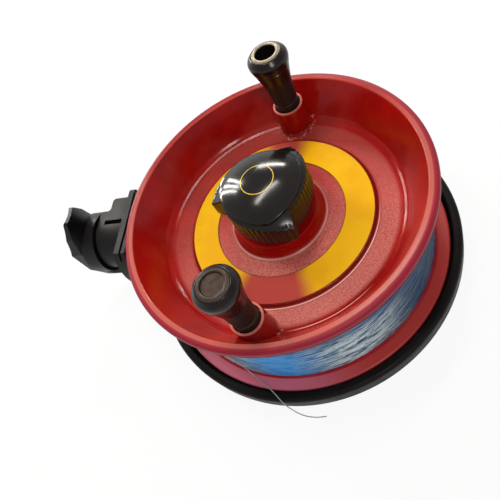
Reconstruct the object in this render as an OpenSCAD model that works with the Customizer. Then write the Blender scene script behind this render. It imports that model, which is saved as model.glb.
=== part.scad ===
// Side-cast fishing reel: a dished spool on a fixed spindle, wound by two handles, with a swivelling foot.
// The reel lies on its back plate. Z runs along the spindle, and the foot points along -X.

/* [Back plate] */
// Outside diameter of the back plate
plate_d = 164.8; // [162:0.2:176]
// Thickness of the plate's floor
plate_t = 4; // [3.6:0.1:5]
// Height of the rim bead above the back face
rim_h = 11.5; // [10.5:0.1:13]
// Width of the rim bead
rim_w = 4.6; // [4:0.1:5.5]
// Diameter of the boss that carries the spindle
plate_boss_d = 32; // [28:0.5:40]
// Height of that boss above the back face
plate_boss_h = 10; // [8:0.1:11]
// Height of the ear that carries the leg
ear_h = 8; // [7:0.1:10]
// Width of the ear
ear_w = 30; // [27:0.5:36]

/* [Spool] */
// Gap between the plate's rim and the rear flange
flange_gap = 1.3; // [1:0.1:2]
// How far the front lip stands in from the flange's edge
lip_back = 0.5; // [0.3:0.1:2]
// Height from the back of the rear flange to the top of the lip
spool_h = 55; // [52:0.5:60]
// Running gap between the plate's floor and the rear flange
spool_gap = 2; // [1:0.1:3]
// Thickness of the spool's wall and floor
shell_t = 4; // [3:0.1:4.6]
// Thickness of the rear flange
flange_t = 3.5; // [2.5:0.1:4]
// Depth of the label's face below the lip
dish_depth = 18.5; // [17:0.1:20]
// Depth of the dish's floor below the label's face
dish_step = 1.6; // [1:0.1:2.2]
// Width of the lip, from its inner edge to its widest point
lip_w = 4.6; // [3.5:0.1:6]
// Radius that rounds the lip
lip_round = 2.4; // [1.5:0.1:3]
// Diameter of the hub's top
hub_d = 41; // [38:0.5:46]
// Height of the hub above the label
hub_rise = 5.5; // [4:0.1:7]
// Number of ribs behind the dish
rib_count = 6; // [3:1:10]
// Thickness of a rib
rib_t = 3; // [2:0.1:4]

/* [Label] */
// Outside diameter of the label ring
label_od = 92.4; // [86:0.2:95]
// Inside diameter of the label ring
label_id = 65.2; // [60:0.2:72]
// Thickness of the label
label_t = 0.3; // [0.2:0.05:0.6]

/* [Line] */
// Depth of the wound line's outside below the flange's edge
line_inset = 6.5; // [5.5:0.1:8.5]
// Depth of the wound line on the drum
line_depth = 8; // [7:0.1:9]
// Diameter of one turn of the outer layer
turn_d = 1.1; // [0.9:0.05:1.3]
// Least gap between turns
turn_gap = 0.45; // [0.42:0.01:0.8]
// Most turns in the outer layer
turn_limit = 24; // [12:1:24]
// Diameter of the loose end
tail_d = 0.5; // [0.4:0.05:0.6]

/* [Spindle and bushes] */
// Diameter of the spindle
spindle_d = 10; // [9:0.1:11]
// Diameter of its threaded end
thread_d = 8; // [7:0.1:8.6]
// Diameter of the spindle's head
head_d = 18; // [16:0.2:20]
// Thickness of the spindle's head
head_t = 2.6; // [2:0.1:2.8]
// Width of the spindle nut across its flats
nut_af = 17; // [16:0.5:20]
// Thickness of the spindle nut
nut_t = 5; // [4:0.1:6]
// Thickness of the spindle washer
washer_t = 1.2; // [0.8:0.1:1.6]
// Wall of the hub's bushes
bush_wall = 2.6; // [2:0.1:3.5]
// Length of each hub bush
bush_l = 10; // [7:0.5:11]
// Thickness of the thrust washer behind the hub
thrust_t = 1.4; // [1:0.1:2]

/* [Tension knob] */
// Radius to the tips of the knob's cap
knob_tip_r = 21.5; // [20.5:0.5:23.5]
// Radius to the middle of the cap's sides
knob_side_r = 19; // [17.5:0.5:19.5]
// Height of the knob from skirt to crown
knob_h = 23.5; // [21:0.5:26]
// Height of the knob's skirt
knob_skirt_h = 14; // [11:0.5:14.5]
// Radius of the skirt's foot
knob_foot_r = 18.6; // [18:0.2:21.6]
// How far the skirt's top stands in from the cap's sides
knob_skirt_in = 0.8; // [0.5:0.1:1.2]
// Height of the crown over the cap's tips
knob_dome_h = 6; // [5:0.5:7]
// Direction of one tip of the cap
knob_angle = -74.6; // [-180:0.2:180]
// Radius to the apex of a lug
lug_r = 26.6; // [25:0.2:28]
// Radius where a lug's side starts
lug_start_r = 20; // [19.6:0.1:21]
// Height of a lug's foot above the skirt's
lug_rise = 4.5; // [3:0.5:6]
// Step from the cap's dome down to a lug's top
lug_drop = 1.2; // [0.8:0.1:2]
// Diameter of the friction washer
friction_d = 28; // [25:0.5:28.5]
// Thickness of the friction washer
friction_t = 1.7; // [1.2:0.1:2.2]
// Thickness of the pressure plate
pressure_t = 1.25; // [1:0.05:1.5]
// Number of disc springs
disc_count = 4; // [2:1:5]
// Thickness of a disc spring
disc_t = 0.6; // [0.5:0.05:0.7]
// Rise of a disc spring's cone
disc_rise = 0.25; // [0.2:0.05:0.3]
// Thickness of the thrust collar
collar_t = 1.6; // [1.2:0.1:2]
// Diameter of the knob's threaded insert
insert_d = 16; // [14:0.2:18]

/* [Handles] */
// Radius of the circle that the handles stand on
handle_r = 59; // [57:0.5:60]
// Direction of the first handle
handle_angle = 86; // [0:1:180]
// Height of a grip above its boss
grip_h = 34.5; // [30:0.5:40]
// Diameter of the grip's head
grip_head_d = 20; // [17:0.5:22]
// Height of the grip's head
grip_head_h = 8.4; // [7:0.2:10]
// Diameter of the grip's neck
grip_neck_d = 12.4; // [11.8:0.1:12.6]
// Diameter of the socket in the grip's head
socket_d = 10.4; // [10:0.1:11]
// Depth of that socket
socket_depth = 14; // [9:0.5:16]
// Diameter of a boss at its top
boss_d = 15.6; // [15:0.1:17]
// Height of a boss above the dish at its axis
boss_h = 16.6; // [15.5:0.1:18]
// Depth of the recess in a boss
boss_recess = 5; // [4.5:0.1:5.5]
// Wall of a boss round its recess
boss_wall = 1; // [0.9:0.05:1.2]
// Thickness of a handle's washers
grip_washer_t = 0.6; // [0.4:0.05:0.8]
// Diameter of a handle screw's shoulder
shoulder_d = 6.4; // [5.6:0.1:6.8]
// Diameter of a handle screw's thread
screw_d = 5; // [4:0.1:5.4]
// Wall of a handle's bush
grip_bush_wall = 0.8; // [0.6:0.05:0.9]
// Length of a handle's insert
boss_insert_l = 8; // [6:0.5:8]
// Wall of a handle's insert
boss_insert_wall = 1; // [0.8:0.05:1.2]

/* [Leg and foot] */
// Height of the swivel's axis above the back face
leg_z = 36; // [34:0.5:40]
// Diameter of the leg's barrel
barrel_d = 30; // [29:0.5:32]
// Length of the barrel
barrel_l = 17.1; // [16:0.1:19]
// Diameter of the leg's round flange
leg_flange_d = 51; // [46:0.5:52]
// Thickness of that flange
leg_flange_t = 3.2; // [3:0.1:5]
// Height of the flange's flat top above the barrel
leg_flange_rise = 2; // [1:0.1:4]
// Reach of the flange's corner beside the barrel
leg_flange_w = 22; // [20.5:0.1:24]
// Reach of the cheek that carries the flange in over the rim
cheek_t = 3.6; // [2.6:0.1:4]
// Width of the post under the barrel
post_w = 22; // [20:0.5:25]
// Reach of the stepped block beside the barrel
block_w = 18; // [16.5:0.5:20]
// Reach of the block's outer step
block_step_w = 10; // [9.4:0.1:12]
// Length of the slot in the barrel
slot_l = 11; // [8:0.5:12]
// Width of that slot
slot_w = 2.6; // [2:0.1:3]
// Diameter of the foot's hub
foot_hub_d = 34; // [33:0.5:35]
// Thickness of the foot at its crown, from the swivel to the rod
foot_t = 8.5; // [7.5:0.1:10]
// Thickness of a tongue at its root
tongue_root_t = 4.5; // [3.8:0.1:5]
// Thickness of a tongue at its tip
tongue_tip_t = 2.2; // [1.6:0.1:3]
// Half of the foot's length
foot_half_l = 29; // [27:0.5:31]
// Width of the foot at its middle
foot_w = 26; // [25.4:0.2:27]
// Width of a tongue at its tip
tongue_tip_w = 11; // [9:0.5:14]
// Radius of the rod that the foot seats on
rod_r = 14; // [13.6:0.1:15]

/* [Swivel] */
// Diameter of the swivel bolt
bolt_d = 6; // [5:0.1:6.4]
// Diameter of the bolt's head
bolt_head_d = 12; // [11:0.2:13]
// Thickness of the bolt's head
bolt_head_t = 3; // [2.4:0.1:3.1]
// Wall of the swivel bush
swivel_bush_wall = 2; // [1.5:0.1:2.6]
// Thickness of the swivel washer
swivel_washer_t = 0.8; // [0.5:0.1:1.2]
// Width of the swivel nut across its flats
swivel_nut_af = 10; // [9.4:0.1:11]
// Thickness of the swivel nut
swivel_nut_t = 3.5; // [3:0.1:3.7]
// Diameter of the pocket behind the barrel
pocket_d = 16; // [14.6:0.2:18]
// Depth of that pocket
pocket_depth = 6.6; // [6.2:0.1:8]
// Diameter of the stop pin
stop_d = 3; // [2.4:0.1:3.2]
// Distance of the stop pin from the swivel's axis
stop_r = 11.8; // [11:0.1:12.6]
// Diameter of the bracket screws
bracket_screw_d = 4; // [3.4:0.1:4.4]
// Spacing of the two bracket screws that stand side by side
bracket_screw_pitch = 16; // [14:0.5:18]

/* [Clearances] */
// Radial clearance of a running fit
run_gap = 0.05; // [0.03:0.01:0.08]
// Radial clearance of a fixed fit
fit_gap = 0.02; // [0.01:0.01:0.04]
// Gap between flat faces that slide on each other
slide_gap = 0.05; // [0.04:0.01:0.1]
// Gap between a soft piece and what it lies against
soft_gap = 0.3; // [0.2:0.05:0.4]

/* [Hidden] */

// Smoothness of round shapes, and the number of steps in a rounded corner
$fn = 96;
corner_steps = 5;
// A cut runs this far past the face it opens
over = 1;
// Rounds at fine edges, plain edges and inside corners
fine_round = 0.5;
edge_round = 1;
root_round = 2;

// Colours
red = [0.62, 0.09, 0.10];
black = [0.09, 0.09, 0.10];
steel = [0.75, 0.76, 0.78];
brass = [0.80, 0.63, 0.30];
nylon = [0.88, 0.87, 0.82];
fibre = [0.42, 0.26, 0.17];
yellow = [0.96, 0.77, 0.10];
blue = [0.45, 0.66, 0.80];

// Back plate
plate_r = plate_d/2;
rim_in = plate_r - rim_w;
rim_round = rim_w*0.7;
boss_r = plate_boss_d/2;
spindle_r = spindle_d/2;
head_sink = 0.6;
head_recess = head_t + head_sink;
ear_root_r = rim_in + rim_w/4;

// Spindle stack, from the plate's boss upwards
washer_z = plate_boss_h;
nut_z = washer_z + washer_t;
thrust_z = nut_z + nut_t;
hub_z = thrust_z + thrust_t + slide_gap;
washer_over = 2;

// Spool levels and radii
spool_z = plate_t + spool_gap;
lip_z = spool_z + spool_h;
flange_r = rim_in - flange_gap;
spool_r = flange_r - lip_back;
lip_in = spool_r - lip_w;
line_r = flange_r - line_inset;
drum_r = line_r - line_depth;
drum_in = drum_r - shell_t;
drum_z = spool_z + flange_t;
label_z = lip_z - dish_depth;
seat_z = label_z - label_t;
dish_z = label_z - dish_step;
under_z = dish_z - shell_t;
seat_margin = 0.6;
seat_draft = 1.2;
seat_r = label_od/2 + seat_margin;
seat_foot_r = seat_r + seat_draft;
dish_inset = 1.5;
dish_round = 6;
dish_r = drum_r - dish_inset;
neck_z = under_z;
lip_edge = 2.2;
lip_chamfer = 0.8;
lip_low_r = spool_r - lip_chamfer;
lip_low_z = lip_z - lip_round - lip_edge;
under_slope = (lip_low_z - neck_z)/(lip_low_r - drum_r);
hub_top = label_z + hub_rise;
hub_r = hub_d/2;
hub_flare = 3;
hub_round = 4;
hub_foot_r = hub_r + hub_flare;
bush_r = spindle_r + run_gap + bush_wall;
hub_bore_r = bush_r + fit_gap;
hub_tube_r = hub_bore_r + shell_t;
spigot_r = drum_in - fit_gap;
spigot_h = 5;
rib_bite = 1;
rib_rise = 4;

// Tension stack, from the hub's top upwards
pressure_z = hub_top + friction_t + slide_gap;
disc_z = pressure_z + pressure_t;
disc_pitch = disc_t + disc_rise;
collar_z = disc_z + disc_count*disc_pitch;
insert_z = collar_z + collar_t + slide_gap;
thread_r = thread_d/2;
friction_r = friction_d/2;
spring_over = 1;
collar_over = 0.6;
insert_r = insert_d/2;
disc_r = insert_r + spring_over;
collar_r = insert_r + collar_over;
knob_z = pressure_z + pressure_t;
knob_top = knob_z + knob_h;
knob_cap_z = knob_z + knob_skirt_h;
crown_t = 5;
insert_top = knob_top - crown_t;
spindle_short = 2;
spindle_top = insert_top - spindle_short;
cavity_gap = 1.2;
knob_cavity_r = friction_r + cavity_gap;
knob_cavity_top = insert_z + slide_gap;
tip_blunt = 1.5;
lug_turn = 21;
lug_root_turn = 10;
lug_bow = 2.4;
lug_steps = 12;
lug_round = 1.2;

// Handles
grip_r = grip_neck_d/2;
boss_r_top = boss_d/2;
boss_draft = 1.2;
boss_r_foot = boss_r_top + boss_draft;
boss_foot_z = lookup(handle_r, [[seat_foot_r, dish_z], [dish_r, dish_z], [lip_in, lip_z]]);
boss_top = boss_foot_z + boss_h;
boss_floor = boss_top - boss_recess;
boss_in = boss_r_top - boss_wall;
boss_insert_r = screw_d/2 + boss_insert_wall;
thread_short = 1;
shoulder_r = shoulder_d/2;
grip_bush_r = shoulder_r + run_gap + grip_bush_wall;
grip_z = boss_floor + grip_washer_t + slide_gap;
grip_top = boss_top + grip_h;
socket_z = grip_top - socket_depth;
socket_r = socket_d/2;
screw_head_z = socket_z + slide_gap + grip_washer_t;
screw_head_gap = 0.6;
screw_head_r = socket_r - screw_head_gap;
screw_head_t = 3;
driver_w = 1.4;
driver_depth = 1.3;
grip_washer_gap = 0.4;
plug_t = 2.2;
plug_sink = 0.9;
plug_crown = 0.2;
grip_rim_w = 1.2;
grip_rim_h = 0.6;
grip_rim_r = socket_r + grip_rim_w;
grip_head_r = grip_head_d/2;
grip_head_round = 3;
seam_in = 0.7;
seam_cut = 0.3;
seam_z = grip_top - grip_head_h;
seam_r = grip_head_r - seam_in;
groove_rise = 3.4;
groove_w = 1.1;
groove_depth = 0.4;
swell_h = 14;
swell_round = 50;

// Leg, measured outwards along -X from the spindle's axis
leg_x = plate_r + soft_gap;
leg_flange_x = leg_x + leg_flange_t;
leg_top = barrel_d/2 + leg_flange_rise;
cheek_x = leg_x - cheek_t;
cheek_low = leg_z - rim_h - soft_gap;
cheek_slot_w = 1.4;
cheek_slot_depth = 4;
barrel_x = leg_flange_x + barrel_l;
barrel_r = barrel_d/2;
block_h = 14;
block_x = leg_flange_x + barrel_l*0.65;
block_round = 2;
slot_depth = 4;
slot_in = 2;
slot_x = leg_flange_x + slot_in;
ear_short = 2;
ear_x = barrel_x - ear_short - ear_w/2;
post_short = 1.5;
post_x = barrel_x - post_short;
post_foot_h = 4;
post_taper_h = 8;
post_round = 4;
screw_row_in = 1.5;
screw_row_gap = 8;
screw_row_x = leg_flange_x + screw_row_in;
screw_end_x = screw_row_x + screw_row_gap;
screw_head_d = bracket_screw_d*1.9;
screw_head_cone = bracket_screw_d*0.45;
screw_bite = 10;

// Foot
foot_x = barrel_x + swivel_washer_t + slide_gap;
crown_x = foot_x + foot_t;
rod_x = crown_x + rod_r;
foot_side_x = rod_x - rod_r*cos(asin(min(0.95, foot_w/2/rod_r)));
bolt_r = bolt_d/2;
bolt_sink = 0.4;
bolt_proud = 0.6;
bolt_head_x = crown_x - bolt_sink - bolt_head_t;
pocket_x = leg_x + pocket_depth;
swivel_disc_t = 0.8;
swivel_disc_rise = 0.35;
swivel_disc_gap = 1;
swivel_nut_x = pocket_x - swivel_disc_t - swivel_disc_rise;
bolt_end_x = swivel_nut_x - swivel_nut_t - bolt_proud;
swivel_bush_r = bolt_r + run_gap + swivel_bush_wall;
stop_angle = 45;
stop_reach = 2.4;
stop_seat = 8;
knee_round = 8;
side_round = 6;

// Wound line
turn_rings = 24;
turn_sides = 6;
turn_r = line_r - turn_d/2;
core_r = (line_r - turn_d)*cos(180/turn_rings) - soft_gap;
turn_low = drum_z + soft_gap + turn_d/2;
turn_high = neck_z + under_slope*(turn_r - turn_d/2 - drum_r) - soft_gap - turn_d;
turn_count = min(turn_limit, floor((turn_high - turn_low)/(turn_d + turn_gap)));
turn_pitch = (turn_high - turn_low)/turn_count;
turn_steps = turn_count*turn_rings;

// Loose end of the line: it leaves the winding, drops over the rear flange and the rim, and lies on the floor
tail_route = [[-32, -63.2, 35], [-26.5, -65.8, 33.2], [-21.6, -67.5, 29.5], [-19.6, -68.2, 22.5],
              [-19.2, -68.6, 16], [-17.2, -70, 11.8], [-13.2, -72.6, 10.6], [-7.7, -76.9, 11.2],
              [-4.4, -79.8, 12.3], [-1.8, -82.3, 10.8], [-0.4, -83.5, 6.4], [0.8, -84, 2.8],
              [3, -85, 0.8], [7, -86.2, 0.4], [12, -86.6, 0.4], [17, -86, 0.4]];
tail_rings_per_leg = 3;
tail_sides = 8;

// Points of a corner at b between a and c, rounded to radius r where the two edges leave room
function unit(v) = v/norm(v);
function corner(a, b, c, r) =
    let (u = unit(a - b), v = unit(c - b), half = acos(u*v)/2,
         t = min(r/tan(half), 0.49*norm(a - b), 0.49*norm(c - b)),
         fit_r = t*tan(half),
         centre = b + unit(u + v)*fit_r/sin(half),
         s = b + u*t - centre, e = b + v*t - centre,
         start = atan2(s.y, s.x),
         sweep = (atan2(e.y, e.x) - start + 540) % 360 - 180)
    [for (i = [0:corner_steps]) let (a = start + sweep*i/corner_steps) centre + fit_r*[cos(a), sin(a)]];

// Outline through [x, y, corner radius] points
function rounded(path) =
    let (n = len(path), p = [for (q = path) [q.x, q.y]])
    [for (i = [0:n - 1])
        each path[i][2] > 0 ? corner(p[(i + n - 1) % n], p[i], p[(i + 1) % n], path[i][2]) : [p[i]]];

// Solid of revolution about Z through [radius, height, corner radius] points
module turned(path) { rotate_extrude() polygon(rounded(path)); }

// Plain round bar about Z
module bar(z, h, r) { translate([0, 0, z]) cylinder(h = h, r = r); }

// Plain ring about Z
module ring(z, h, outer, inner) {
    difference() {
        bar(z, h, outer);
        bar(z - over, h + 2*over, inner);
    }
}

// Places children on the leg's axis: their Z points outwards from radius x, and their X points up
module on_leg(x) { translate([-x, 0, leg_z]) rotate([0, -90, 0]) children(); }

// Places children on the axis of handle 0 or 1
module on_handle(i) { rotate(handle_angle + 180*i) translate([handle_r, 0, 0]) children(); }

// Conical spring disc standing on its outer edge, and the turned-over one that stands on its inner edge
module spring_disc(z, outer, inner, t, rise, turned_over) {
    low = turned_over ? 0 : rise;
    high = turned_over ? rise : 0;
    rotate_extrude()
        polygon([[inner, z + low], [outer, z + high], [outer, z + high + t], [inner, z + low + t]]);
}

// Faces of a closed tube of n rings with k sides
function tube_faces(n, k) = concat(
    [for (i = [0:n - 2], j = [0:k - 1])
        let (a = i*k + j, b = i*k + (j + 1) % k) each [[a, a + k, b], [b, a + k, b + k]]],
    [for (j = [1:k - 2]) [0, j, j + 1]],
    [for (j = [1:k - 2]) let (e = (n - 1)*k) [e, e + j + 1, e + j]]);

// Tube of radius r along points, with the ring at each point square to the path
module tube(points, r, k) {
    n = len(points);
    rings = [for (i = [0:n - 1])
        let (ahead = points[min(i + 1, n - 1)] - points[max(i - 1, 0)], t = unit(ahead),
             side = unit(cross(t, abs(t.z) < 0.9 ? [0, 0, 1] : [1, 0, 0])), up = cross(side, t))
        each [for (j = [0:k - 1]) points[i] + r*(cos(360*j/k)*side + sin(360*j/k)*up)]];
    polyhedron(rings, tube_faces(n, k));
}

// Turns of the outer layer: one helix whose two ends run straight for one tube diameter
function turn_point(i) =
    let (a = 360*i/turn_rings) [turn_r*cos(a), turn_r*sin(a), turn_low + turn_pitch*i/turn_rings];
turn_body = [for (i = [0:turn_steps]) turn_point(i)];
turn_first = turn_body[0] + turn_d*unit(turn_body[0] - turn_body[1]);
turn_last = turn_body[turn_steps] + turn_d*unit(turn_body[turn_steps] - turn_body[turn_steps - 1]);
turn_points = concat([turn_first], turn_body, [turn_last]);
turn_least = min([for (i = [0:turn_steps - turn_rings - 2], k = [-2:2])
    norm(turn_points[i + turn_rings + max(k, -i)] - turn_points[i]) - turn_d]);
echo(least_gap_between_turns = turn_least, turns = turn_count);

// Smooth curve through the loose end's own points
function spline(p, i, u) =
    let (n = len(p), a = p[max(i - 1, 0)], b = p[i], c = p[i + 1], d = p[min(i + 2, n - 1)])
    0.5*(2*b + (c - a)*u + (2*a - 5*b + 4*c - d)*u*u + (3*b - a - 3*c + d)*u*u*u);
tail_points = concat(
    [for (i = [0:len(tail_route) - 2], k = [0:tail_rings_per_leg - 1])
        spline(tail_route, i, k/tail_rings_per_leg)],
    [tail_route[len(tail_route) - 1]]);

// Back plate with its rim bead, spindle boss and the ear that carries the leg
module back_plate() {
    color(black) difference() {
        union() {
            turned([[0, 0, 0], [plate_r, 0, rim_round], [plate_r, rim_h, rim_round],
                    [rim_in, rim_h, edge_round], [rim_in, plate_t, edge_round], [boss_r, plate_t, root_round],
                    [boss_r, plate_boss_h, edge_round], [0, plate_boss_h, 0]]);
            linear_extrude(ear_h) difference() {
                union() {
                    translate([-ear_x, 0]) circle(d = ear_w);
                    translate([-ear_x, -ear_w/2]) square([ear_x, ear_w]);
                }
                circle(r = ear_root_r);
            }
        }
        bar(-over, plate_boss_h + 2*over, spindle_r + fit_gap);
        translate([0, 0, -over]) cylinder(h = head_recess + over, d = head_d + 2*soft_gap);
        at_bracket_screws() {
            translate([0, 0, -over]) cylinder(h = ear_h + 2*over, d = bracket_screw_d + 2*fit_gap);
            cylinder(h = screw_head_cone, d1 = screw_head_d + 2*fit_gap, d2 = bracket_screw_d + 2*fit_gap);
        }
    }
}

// The three places where screws hold the leg on the ear
module at_bracket_screws() {
    for (y = [-0.5, 0.5]) translate([-screw_row_x, y*bracket_screw_pitch, 0]) children();
    translate([-screw_end_x, 0, 0]) children();
}

// Leg: a flat-topped flange with a cheek over the rim, a barrel for the swivel, a stepped block beside it
// and a post on the ear
module leg_bracket() {
    post_h = leg_z - ear_h;
    color(black) difference() {
        union() {
            on_leg(cheek_x) linear_extrude(cheek_t + over) flange_outline(cheek_low);
            on_leg(leg_x) linear_extrude(leg_flange_t) {
                flange_outline(leg_flange_d/2);
                polygon(rounded([[0, 0, 0], [leg_top, 0, 0], [leg_top, leg_flange_w, root_round],
                                 [0, leg_flange_w, 0]]));
            }
            on_leg(leg_flange_x - over) cylinder(h = barrel_l + over, r = barrel_r);
            translate([-post_x, 0, ear_h]) rotate([90, 0, 90]) linear_extrude(post_x - leg_x)
                polygon(rounded([
                    [-ear_w/2, 0, 0], [ear_w/2, 0, 0], [ear_w/2, post_foot_h, edge_round],
                    [post_w/2, post_taper_h, post_round], [post_w/2, post_h, 0], [-post_w/2, post_h, 0],
                    [-post_w/2, post_taper_h, post_round], [-ear_w/2, post_foot_h, edge_round]]));
            translate([0, 0, leg_z + barrel_r - block_h]) linear_extrude(block_h)
                polygon(rounded([
                    [-leg_x, 0, 0], [-leg_x, block_w, 0], [-block_x, block_w, block_round],
                    [-block_x, block_step_w, block_round], [-barrel_x, block_step_w, block_round],
                    [-barrel_x, 0, 0]]));
        }
        translate([-slot_x - slot_l, slot_w/2, leg_z + barrel_r - slot_depth])
            cube([slot_l, slot_w, slot_depth + over]);
        translate([-leg_x, -leg_flange_d/2, leg_z + leg_top - cheek_slot_depth])
            cube([cheek_slot_w, leg_flange_d, cheek_slot_depth + over]);
        on_leg(cheek_x - over) cylinder(h = cheek_t + pocket_depth + over, d = pocket_d);
        on_leg(leg_x) cylinder(h = barrel_x - leg_x + over, r = swivel_bush_r + fit_gap);
        on_leg(barrel_x - stop_seat) at_stop() cylinder(h = stop_seat + over, d = stop_d + 2*fit_gap);
        at_bracket_screws() translate([0, 0, ear_h - over])
            cylinder(h = screw_bite + over, d = bracket_screw_d + 2*fit_gap);
    }
}

// Outline of the leg's flange along the swivel's axis: a disc cut flat above, and below where the rim is
module flange_outline(low) {
    intersection() {
        circle(d = leg_flange_d);
        translate([-low, -leg_flange_d/2]) square([low + leg_top, leg_flange_d]);
    }
}

// Places children where the stop pin stands round the swivel's axis
module at_stop() { rotate(stop_angle) translate([stop_r, 0, 0]) children(); }

// Countersunk screws that hold the leg
module bracket_screws() {
    color(steel) at_bracket_screws() {
        cylinder(h = ear_h + screw_bite - fit_gap, d = bracket_screw_d);
        cylinder(h = screw_head_cone, d1 = screw_head_d, d2 = bracket_screw_d);
    }
}

// Spindle: head in the plate's back, plain shank, shoulder and threaded end
module spindle() {
    color(steel) turned([[0, head_sink, 0], [head_d/2, head_sink, fine_round], [head_d/2, head_recess, 0],
                         [spindle_r, head_recess, 0], [spindle_r, pressure_z, 0], [thread_r, pressure_z, 0],
                         [thread_r, spindle_top, edge_round], [0, spindle_top, 0]]);
}

module spindle_washer() { color(steel) ring(washer_z, washer_t, nut_af/2 + washer_over, spindle_r + fit_gap); }

module spindle_nut() {
    color(brass) translate([0, 0, nut_z]) difference() {
        cylinder(h = nut_t, r = nut_af/2/cos(30), $fn = 6);
        bar(-over, nut_t + 2*over, spindle_r + fit_gap);
    }
}

module thrust_washer() { color(nylon) ring(thrust_z, thrust_t, bush_r, spindle_r + fit_gap); }

module pressure_plate() { color(steel) ring(pressure_z, pressure_t, friction_r, thread_r + fit_gap); }

// Bolt that the foot swivels on: its head lies in the saddle and its end takes the nut
module swivel_bolt() {
    color(steel) {
        on_leg(bolt_end_x) cylinder(h = bolt_head_x - bolt_end_x, r = bolt_r);
        on_leg(bolt_head_x) cylinder(h = bolt_head_t, d = bolt_head_d);
    }
}

module swivel_bush() {
    color(brass) on_leg(pocket_x) ring(0, barrel_x - pocket_x, swivel_bush_r, bolt_r + run_gap);
}

module swivel_washer() {
    color(nylon) on_leg(barrel_x) ring(0, swivel_washer_t, stop_r - stop_d, bolt_r + run_gap);
}

module swivel_springs() {
    color(steel) on_leg(swivel_nut_x)
        spring_disc(0, pocket_d/2 - swivel_disc_gap, bolt_r + run_gap, swivel_disc_t, swivel_disc_rise, true);
}

module swivel_nut() {
    color(steel) on_leg(swivel_nut_x - swivel_nut_t) difference() {
        cylinder(h = swivel_nut_t, r = swivel_nut_af/2/cos(30), $fn = 6);
        bar(-over, swivel_nut_t + 2*over, bolt_r + fit_gap);
    }
}

module stop_pin() {
    color(steel) on_leg(barrel_x - stop_seat) at_stop()
        cylinder(h = stop_seat + swivel_washer_t + slide_gap + stop_reach, d = stop_d);
}

// Loose end of the line
module line_tail() { color(blue) tube(tail_points, tail_d/2, tail_sides); }

// Spool: dish, lip, drum, hub and handle bosses in one moulding, with ribs behind the dish
module spool() {
    color(red) difference() {
        union() {
            turned([[hub_bore_r, hub_z, 0], [hub_tube_r, hub_z, fine_round], [hub_tube_r, under_z, root_round],
                    [drum_in, under_z, root_round], [drum_in, drum_z, 0], [drum_r, drum_z, 0],
                    [drum_r, neck_z, 0], [lip_low_r, lip_low_z, fine_round],
                    [spool_r, lip_low_z + lip_chamfer, fine_round], [spool_r, lip_z, lip_round],
                    [lip_in, lip_z, edge_round], [dish_r, dish_z, dish_round],
                    [seat_foot_r, dish_z, fine_round], [seat_r, seat_z, fine_round], [hub_foot_r, seat_z, hub_round],
                    [hub_r, hub_top, edge_round], [hub_bore_r, hub_top, 0]]);
            for (i = [0:rib_count - 1]) rotate(360/rib_count*(i + 0.5))
                translate([hub_tube_r - rib_bite, -rib_t/2, hub_z + rib_rise])
                    cube([drum_in - hub_tube_r + 2*rib_bite, rib_t, under_z - hub_z - rib_rise + rib_bite]);
            intersection() {
                for (i = [0, 1]) on_handle(i) translate([0, 0, under_z])
                    cylinder(h = boss_top - under_z, r1 = boss_r_foot, r2 = boss_r_top);
                above_dish();
            }
        }
        for (i = [0, 1]) on_handle(i) {
            bar(boss_floor, boss_recess + over, boss_in);
            bar(boss_floor - boss_insert_l, boss_insert_l + over, boss_insert_r + fit_gap);
        }
    }
}

// Space over the middle of the dish's wall, which the bosses stand in
module above_dish() {
    middle = shell_t/2;
    far = lip_in + 2*boss_r_foot;
    rotate_extrude()
        polygon([[0, dish_z - middle], [dish_r, dish_z - middle], [lip_in, lip_z - middle],
                 [far, lip_z - middle], [far, boss_top + over], [0, boss_top + over]]);
}

// Rear flange, with a spigot that locates it in the drum
module spool_flange() {
    spigot_top = drum_z + spigot_h;
    color(red) turned([[spigot_r - shell_t, spool_z, 0], [flange_r, spool_z, edge_round],
                       [flange_r, drum_z, edge_round], [spigot_r, drum_z, 0],
                       [spigot_r, spigot_top, fine_round], [spigot_r - shell_t, spigot_top, fine_round]]);
}

module rear_bush() { color(brass) ring(hub_z, bush_l, bush_r, spindle_r + run_gap); }

module front_bush() { color(brass) ring(hub_top - bush_l, bush_l, bush_r, spindle_r + run_gap); }

module friction_washer() { color(fibre) ring(hub_top, friction_t, friction_r, spindle_r + run_gap); }

// Printed ring on its raised seat in the dish
module label_ring() { color(yellow) ring(seat_z, label_t, label_od/2, label_id/2); }

// Body of the wound line under its outer layer
module line_core() {
    inner = drum_r + fit_gap;
    top = neck_z + under_slope*(core_r - drum_r) - soft_gap;
    color(blue) rotate_extrude()
        polygon([[inner, drum_z], [core_r, drum_z], [core_r, top], [inner, neck_z - soft_gap]]);
}

module line_winding() { color(blue) tube(turn_points, turn_d/2, turn_sides); }

// Brass insert in a boss
module handle_insert(i) {
    color(brass) on_handle(i)
        ring(boss_floor - boss_insert_l, boss_insert_l, boss_insert_r, screw_d/2 + fit_gap);
}

// Shoulder screw that a grip turns on, with a slot in its head
module handle_screw(i) {
    thread_l = boss_insert_l - thread_short;
    color(steel) on_handle(i) difference() {
        union() {
            translate([0, 0, boss_floor - thread_l]) cylinder(h = thread_l + over, d = screw_d);
            bar(boss_floor, screw_head_z - boss_floor, shoulder_r);
            bar(screw_head_z, screw_head_t, screw_head_r);
        }
        translate([-screw_head_r - over, -driver_w/2, screw_head_z + screw_head_t - driver_depth])
            cube([2*screw_head_r + 2*over, driver_w, driver_depth + over]);
    }
}

// Washers under a grip and under its screw's head
module handle_washers(i) {
    color(nylon) on_handle(i) {
        ring(boss_floor, grip_washer_t, boss_in - grip_washer_gap, shoulder_r + fit_gap);
        ring(screw_head_z - grip_washer_t, grip_washer_t, screw_head_r, shoulder_r + fit_gap);
    }
}

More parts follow.
